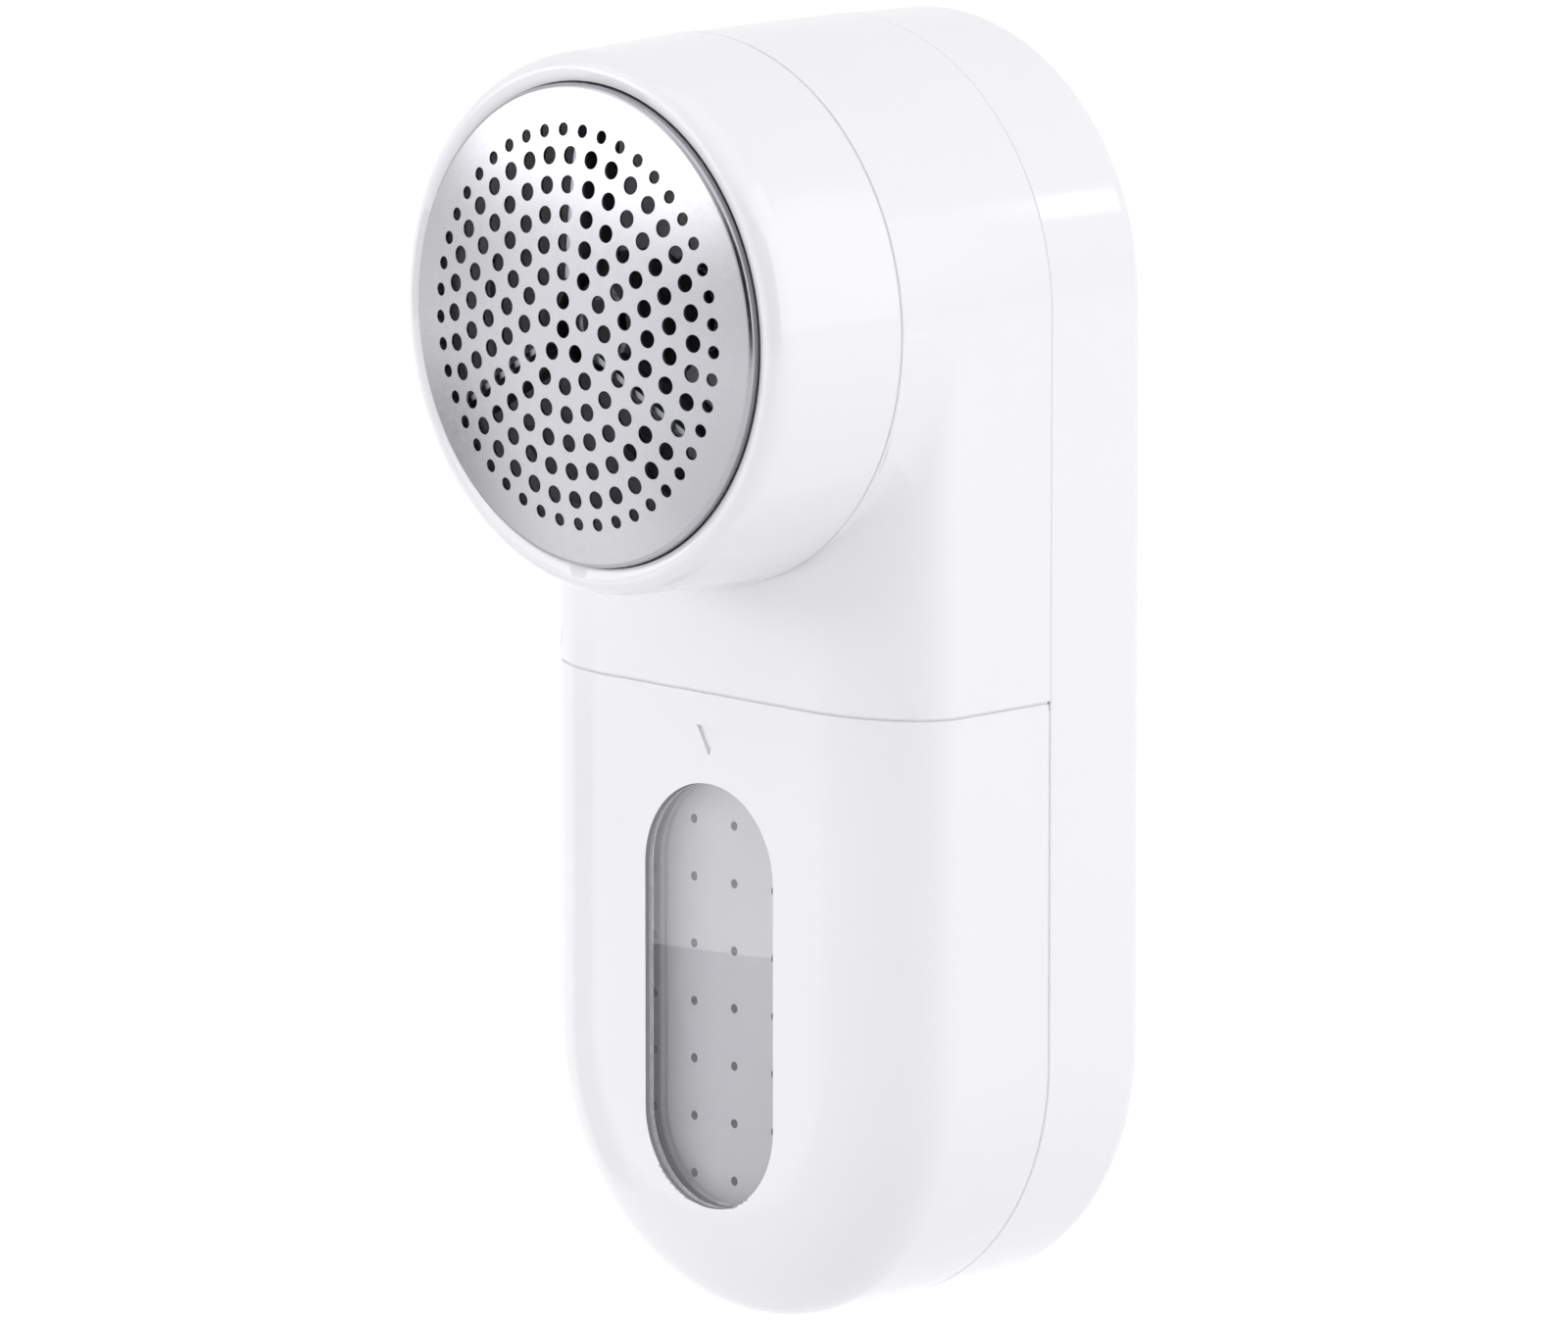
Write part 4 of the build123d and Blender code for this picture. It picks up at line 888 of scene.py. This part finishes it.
def clear_window():
    """Clear polycarbonate, polished: seen through, with a mirror-sharp reflection and a faint grey tint."""
    material, tree, place = blank("clear polycarbonate, polished")
    tint = drifting(tree, place, 18, 0.0, ("#F4F4F6", "#EEEEF1"))
    skin = add(tree, "ShaderNodeBsdfPrincipled", {
        "Base Color": tint, "Transmission Weight": 1.0, "IOR": 1.58, "Roughness": 0.0})
    add(tree, "ShaderNodeOutputMaterial", {"Surface": skin})
    return material


def dust_and_shade_plate():
    """White polypropylene, dull and slightly waxy, under a thin veil of lint dust that mottles it.

    It grows darker towards the left: painted shade, where the chamber's wall would shadow the plate.
    """
    material, tree, place = blank("white polypropylene, moulded, dusty")
    across = add(tree, "ShaderNodeSeparateXYZ", {0: place}).outputs["X"]
    cloud = add(tree, "ShaderNodeTexNoise", {"Vector": place, "Scale": per(14), "Detail": 2.0})
    drift = add(tree, "ShaderNodeMath", {0: cloud, 1: 3 * MM, 2: across}, operation="MULTIPLY_ADD")
    # The darkening towards the left is painted shade; the noise cloud adds the dust's mottling.
    dust_and_shade_veil = add(tree, "ShaderNodeMapRange", {"Value": drift, "From Min": -10.5 * MM, "From Max": -0.5 * MM})
    tint = add(tree, "ShaderNodeMix", {0: dust_and_shade_veil, 6: colour("#C2C2C7"), 7: colour("#E9E9EC")},
               data_type="RGBA")
    grain = add(tree, "ShaderNodeTexNoise", {"Vector": place, "Scale": per(1.2), "Detail": 3.0})
    surface(tree, tint.outputs[2], grain, 0.002, {"Roughness": 0.38, "IOR": 1.49})
    return material


def make_finishes():
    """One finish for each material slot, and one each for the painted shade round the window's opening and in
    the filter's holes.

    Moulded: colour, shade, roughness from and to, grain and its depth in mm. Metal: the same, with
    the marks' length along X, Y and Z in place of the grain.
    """
    return {
        # ABS moulded in a polished mould: bright cool white with clean, slightly soft reflections.
        "white_abs": moulded("white ABS, moulded gloss", "#EFEFF2", "#ECECF0", (0.1, 0.15), 0.9, 0.0004),
        # The same plastic, tinted: light grey with a duller grain, which the thumb can feel.
        "grey_abs": moulded("grey ABS, moulded satin", "#B9BBC0", "#B3B5BA", (0.32, 0.42), 0.5, 0.004),
        # Polished polycarbonate: as clear as glass, with sharp reflections.
        "clear_plastic": clear_window(),
        # Injection-moulded polypropylene: milky white, dull and slightly waxy, mottled by dust, and darker
        # towards the left by painted shade.
        "filter_plastic": dust_and_shade_plate(),
        # Stamped and polished stainless sheet: smooth satin that spreads the lamps into wide bright areas.
        "foil_steel": worked_metal("stainless foil, stamped and polished", "#A9A9AD", "#A5A5A9", (0.22, 0.28),
                                   (0.8, 0.8, 0.8), 0.0004),
        # Painted shade on the wall round the window's opening: soft mid grey with hardly any gloss.
        "painted_opening_shade": moulded("mid grey, painted shade round the window", "#A6A7AC", "#A2A3A8", (0.45, 0.55), 0.6, 0.003),
        # Painted shade on the walls of the filter's holes: dark matt grey.
        "painted_hole_shade": moulded("dark grey, painted shade in the holes", "#57585C", "#626368", (0.8, 0.9), 0.3, 0.02),
        # Ground stainless: grey with fine straight grinding lines.
        "blade_steel": worked_metal("stainless blade steel, ground", "#85878C", "#7A7C82", (0.3, 0.44),
                                    (0.12, 3, 3), 0.003),
        # Acetal, dark: dull and waxy.
        "hub_plastic": moulded("black acetal, moulded", "#26262A", "#2C2C30", (0.35, 0.5), 0.6, 0.004),
        # ABS inside the case, off the mould as it is: pale, flatter and greyer than the outside.
        "inner_plastic": moulded("natural white ABS, moulded", "#DADADD", "#D2D2D6", (0.35, 0.5), 0.8, 0.004),
        # Hard-drawn spring wire: dark silver with fine lines.
        "spring_steel": worked_metal("spring steel, drawn", "#8E9096", "#7E8087", (0.2, 0.34),
                                     (0.2, 0.2, 2), 0.002),
        # Zinc plate, clear passivated: pale silver, slightly blue, softly mottled.
        "screw_steel": worked_metal("steel, zinc plated", "#B4B9C0", "#A3A8B2", (0.24, 0.42),
                                    (0.5, 0.5, 0.5), 0.002),
        # Deep-drawn and nickel-plated sheet: warm silver with faint draw lines along the axis.
        "motor_steel": worked_metal("steel can, drawn and plated", "#B3B2AE", "#A6A5A2", (0.24, 0.36),
                                    (0.3, 6, 0.3), 0.002),
        # Glass-filled nylon, black: dull, with a speckle from the glass.
        "black_plastic": moulded("black nylon, moulded", "#17171A", "#222226", (0.42, 0.6), 0.35, 0.008),
        # Pressed and sintered ferrite: charcoal with a dry, grainy face.
        "ferrite": moulded("ferrite, sintered", "#2B2B2E", "#38383B", (0.55, 0.75), 0.25, 0.015),
        # Oil-filled sintered bronze: brown gold, porous and a little wet.
        "bronze": worked_metal("bronze, sintered", "#A97B45", "#8F6538", (0.35, 0.55), (0.2, 0.2, 0.2), 0.01),
        # Pressed carbon: near black with a graphite sheen.
        "carbon": moulded("carbon, pressed", "#1C1C1E", "#2A2A2C", (0.4, 0.6), 0.2, 0.01),
        # Rolled brass strip: yellow with rolling lines.
        "brass": worked_metal("brass strip, rolled", "#D6B25E", "#C7A150", (0.2, 0.34),
                              (3, 0.15, 0.15), 0.002),
        # Varnished copper wire, wound: amber, with soft light and dark bands.
        "copper": wound_copper(),
        # Ground shafting: bright, with fine rings round it.
        "shaft_steel": worked_metal("steel shaft, ground", "#C3C4C7", "#B8B9BD", (0.14, 0.24),
                                    (4, 0.1, 4), 0.001),
        # Shrunk film over the cell's steel: plain dark green with a plastic gloss.
        "cell_jacket": moulded("green film, shrunk on the cell", "#2A4E3E", "#264838",
                               (0.16, 0.24), 3.0, 0.006),
        # Nickel-plated spring strip: bright and slightly yellow.
        "contact_nickel": worked_metal("nickel-plated strip", "#CFC9BC", "#C2BCAF", (0.14, 0.24),
                                       (2, 0.2, 0.2), 0.001),
        # Solder mask on glass laminate: green gloss, faintly uneven.
        "board_laminate": moulded("glass laminate, green solder mask", "#1E5A38", "#1A5032",
                                  (0.24, 0.34), 0.5, 0.004),
    }


# ---------------------------------------------------------------- studio


def studio_ray(tree):
    """One for a ray that sees the surroundings: straight, reflected or through something clear."""
    rays = add(tree, "ShaderNodeLightPath").outputs
    first = add(tree, "ShaderNodeMath", {
        0: rays["Is Camera Ray"], 1: rays["Is Glossy Ray"]}, operation="MAXIMUM")
    return add(tree, "ShaderNodeMath", {0: first, 1: rays["Is Transmission Ray"]}, operation="MAXIMUM")


def lay_floor(height, near, far):
    """Plain matt paper: near white, lifted to the backdrop's white for rays that see it.

    The lift grows from near to far with the distance from the object, as the lamps' light fades.
    """
    reach, sides = 8, 96
    material, tree, place = blank("white paper, matt")
    tint = drifting(tree, place, 3, 4.0, ("#F7F7F8", "#F5F5F6"))
    paper = add(tree, "ShaderNodeBsdfDiffuse", {"Color": tint})
    away = add(tree, "ShaderNodeVectorMath", {0: place}, operation="LENGTH")
    lift = add(tree, "ShaderNodeMapRange", {
        "Value": away.outputs["Value"], "From Min": 0.3, "From Max": 1.6, "To Min": near, "To Max": far})
    strength = add(tree, "ShaderNodeMath", {0: studio_ray(tree), 1: lift}, operation="MULTIPLY")
    glow = add(tree, "ShaderNodeEmission", {"Color": (1, 1, 1, 1), "Strength": strength})
    both = add(tree, "ShaderNodeAddShader", {0: paper, 1: glow})
    add(tree, "ShaderNodeOutputMaterial", {"Surface": both})
    mesh = bpy.data.meshes.new("floor")
    rim = [(reach * cos(2 * pi * i / sides), reach * sin(2 * pi * i / sides), height) for i in range(sides)]
    mesh.from_pydata(rim, [], [range(sides)])
    mesh.materials.append(material)
    floor = in_scene("floor", mesh)


def light_room(strength):
    """Soft even white light from all round, and full white for rays that see the room."""
    room = bpy.data.worlds.new("white room")
    room.use_nodes = True
    tree = room.node_tree
    tree.nodes.clear()
    power = add(tree, "ShaderNodeMapRange", {"Value": studio_ray(tree), "To Min": strength, "To Max": 1.0})
    light = add(tree, "ShaderNodeBackground", {"Color": (1, 1, 1, 1), "Strength": power})
    add(tree, "ShaderNodeOutputWorld", {"Surface": light})
    bpy.context.scene.world = room


def toward(azimuth, elevation):
    """Unit vector from the object: azimuth 0 is in front, and 90 is on its right."""
    a, e = radians(azimuth), radians(elevation)
    return Vector((sin(a) * cos(e), -cos(a) * cos(e), sin(e)))


def hang_lamp(name, azimuth, elevation, distance, width, height, power):
    """Rectangular white soft box that faces the object's middle."""
    light = bpy.data.lights.new(name, "AREA")
    light.shape = "RECTANGLE"
    light.size, light.size_y = width, height
    light.energy = power
    lamp = in_scene(name, light)
    way = toward(azimuth, elevation)
    lamp.location = (cad_low + cad_high) / 2 + way * distance
    lamp.rotation_mode = "QUATERNION"
    lamp.rotation_quaternion = way.to_track_quat("Z", "Y")


def reflected_sheet(name, corners, material):
    """A sheet of the studio that only reflections see."""
    mesh = bpy.data.meshes.new(name)
    mesh.from_pydata([tuple(c) for c in corners], [], [(0, 1, 2, 3)])
    mesh.materials.append(material)
    sheet = in_scene(name, mesh)
    sheet.visible_camera = sheet.visible_diffuse = False
    sheet.visible_transmission = sheet.visible_shadow = False


def lit_card(name, strength, sharp):
    """White card that shows in mirror-smooth surfaces when sharp is 1, and in satin ones when it is 0."""
    material, tree, _ = blank(name)
    mirror = add(tree, "ShaderNodeLightPath").outputs["Is Singular Ray"]
    chosen = add(tree, "ShaderNodeMath", {0: mirror, 1: sharp}, operation="COMPARE")
    clear = add(tree, "ShaderNodeBsdfTransparent")
    face = add(tree, "ShaderNodeEmission", {"Color": (1, 1, 1, 1), "Strength": strength})
    shown = add(tree, "ShaderNodeMixShader", {0: chosen, 1: clear, 2: face})
    add(tree, "ShaderNodeOutputMaterial", {"Surface": shown})
    return material


def hang_flag(azimuth, elevation, distance, width, height):
    """Black cloth round the camera: it draws the dark lines on bent metal."""
    material, tree, place = blank("black cloth, matt")
    tint = drifting(tree, place, 4, 2.0, ("#1C1C1E", "#222224"))
    cloth = add(tree, "ShaderNodeBsdfDiffuse", {"Color": tint})
    add(tree, "ShaderNodeOutputMaterial", {"Surface": cloth})
    way = toward(azimuth, elevation)
    turn = way.to_track_quat("Z", "Y")
    middle = (cad_low + cad_high) / 2 + way * distance
    reflected_sheet("flag", [middle + turn @ Vector((x * width / 2, y * height / 2, 0))
                             for x, y in ((-1, -1), (1, -1), (1, 1), (-1, 1))], material)


def hang_card(azimuth, away, facing, width, height, strength):
    """White card that stands level with the tail, and shows in the upper part of the clear window."""
    low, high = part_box("lint_window")
    base = Vector(((low.x + high.x) / 2, low.y, cad_low.z)) + toward(azimuth, 0) * away
    side = toward(facing + 90, 0) * width / 2
    rise = Vector((0, 0, height))
    reflected_sheet("card", [base - side, base + side, base + side + rise, base - side + rise],
                    lit_card("white card, lit", strength, 1.0))


def lay_strip(name, azimuth, near, far, width, strength):
    """Strip 1 mm above the floor, which widens away from the foil and draws a soft band down its dome."""
    way, side = toward(azimuth, 0), toward(azimuth + 90, 0) * width / 2
    up = Vector((0, 0, cad_low.z - (slide_room - 1) * MM))
    start, end = way * near + up, way * far + up
    wide = side * far / near
    reflected_sheet(name, [start - side, start + side, end + wide, end - wide],
                    lit_card(name, strength, 0.0))


def place_camera(azimuth, elevation, focal, right, up, scale):
    """Long lens that looks at a point of the object, slid right and up so that it sits in the frame.

    focal, right and up are in units of which the image is 1600 wide, and scale is units to a millimetre.
    """
    image_width, sensor = 1600, 36
    aim = Vector((0, -15, -40.5))
    look = toward(azimuth, elevation)
    a, e = radians(azimuth), radians(elevation)
    side = Vector((cos(a), sin(a), 0))
    rise = Vector((-sin(a) * sin(e), cos(a) * sin(e), cos(e)))
    lens = bpy.data.cameras.new("camera")
    lens.sensor_width = sensor
    lens.lens = focal * sensor / image_width
    lens.clip_start, lens.clip_end = 0.1, 50
    camera = in_scene("camera", lens)
    camera.location = (aim + (focal * look - right * side - up * rise) / scale) * MM
    camera.rotation_mode = "QUATERNION"
    camera.rotation_quaternion = look.to_track_quat("Z", "Y")
    bpy.context.scene.camera = camera


# ---------------------------------------------------------------- the whole object

finishes = make_finishes()
for part in frame["record"]["subparts"]:
    slots = nodes[part["node"]].data.materials
    slots.clear()
    slots.append(finishes[part["material_slot"]])

housing_shell(finishes["white_abs"])
rear_shell(finishes["white_abs"])
lint_box_shell(finishes["white_abs"], finishes["painted_opening_shade"])
head_ring_shell(finishes["white_abs"])
foil_screen(finishes["foil_steel"])
filter_plate(finishes["filter_plastic"], finishes["painted_hole_shade"])
float_spring(finishes["spring_steel"])

bpy.context.scene.view_settings.view_transform = "Standard"
lay_floor(cad_low.z - slide_room * MM, near=0.3, far=0.6)
light_room(0.62)
hang_flag(azimuth=46, elevation=14, distance=1.0, width=1.3, height=1.0)
lay_strip("white_strip", azimuth=-43, near=0.25, far=6.0, width=0.1, strength=1.75)
lay_strip("grey_strip", azimuth=-70, near=0.2, far=0.8, width=0.075, strength=0.65)
hang_card(azimuth=-46, away=0.201, facing=-12.5, width=0.06, height=0.03, strength=2.9)
# Azimuth and elevation in degrees, distance, width and height in metres, and power in watts.
for lamp in (("key soft box", -40, 32, 1.3, 0.9, 0.9, 2.4),
             ("low soft box", -43, 11, 1.3, 1.0, 0.34, 2.9),
             ("side soft box", 106, 26, 1.4, 1.5, 1.4, 7.2),
             ("top soft box", 75, 78, 1.3, 1.3, 1.3, 3.1),
             ("edge strip", 142.3, 24, 1.1, 0.04, 0.11, 0.12)):
    hang_lamp(*lamp)
place_camera(azimuth=45.8922878, elevation=10.0470196, focal=14150.59,
             right=74.4654, up=-2.42984, scale=9.627)
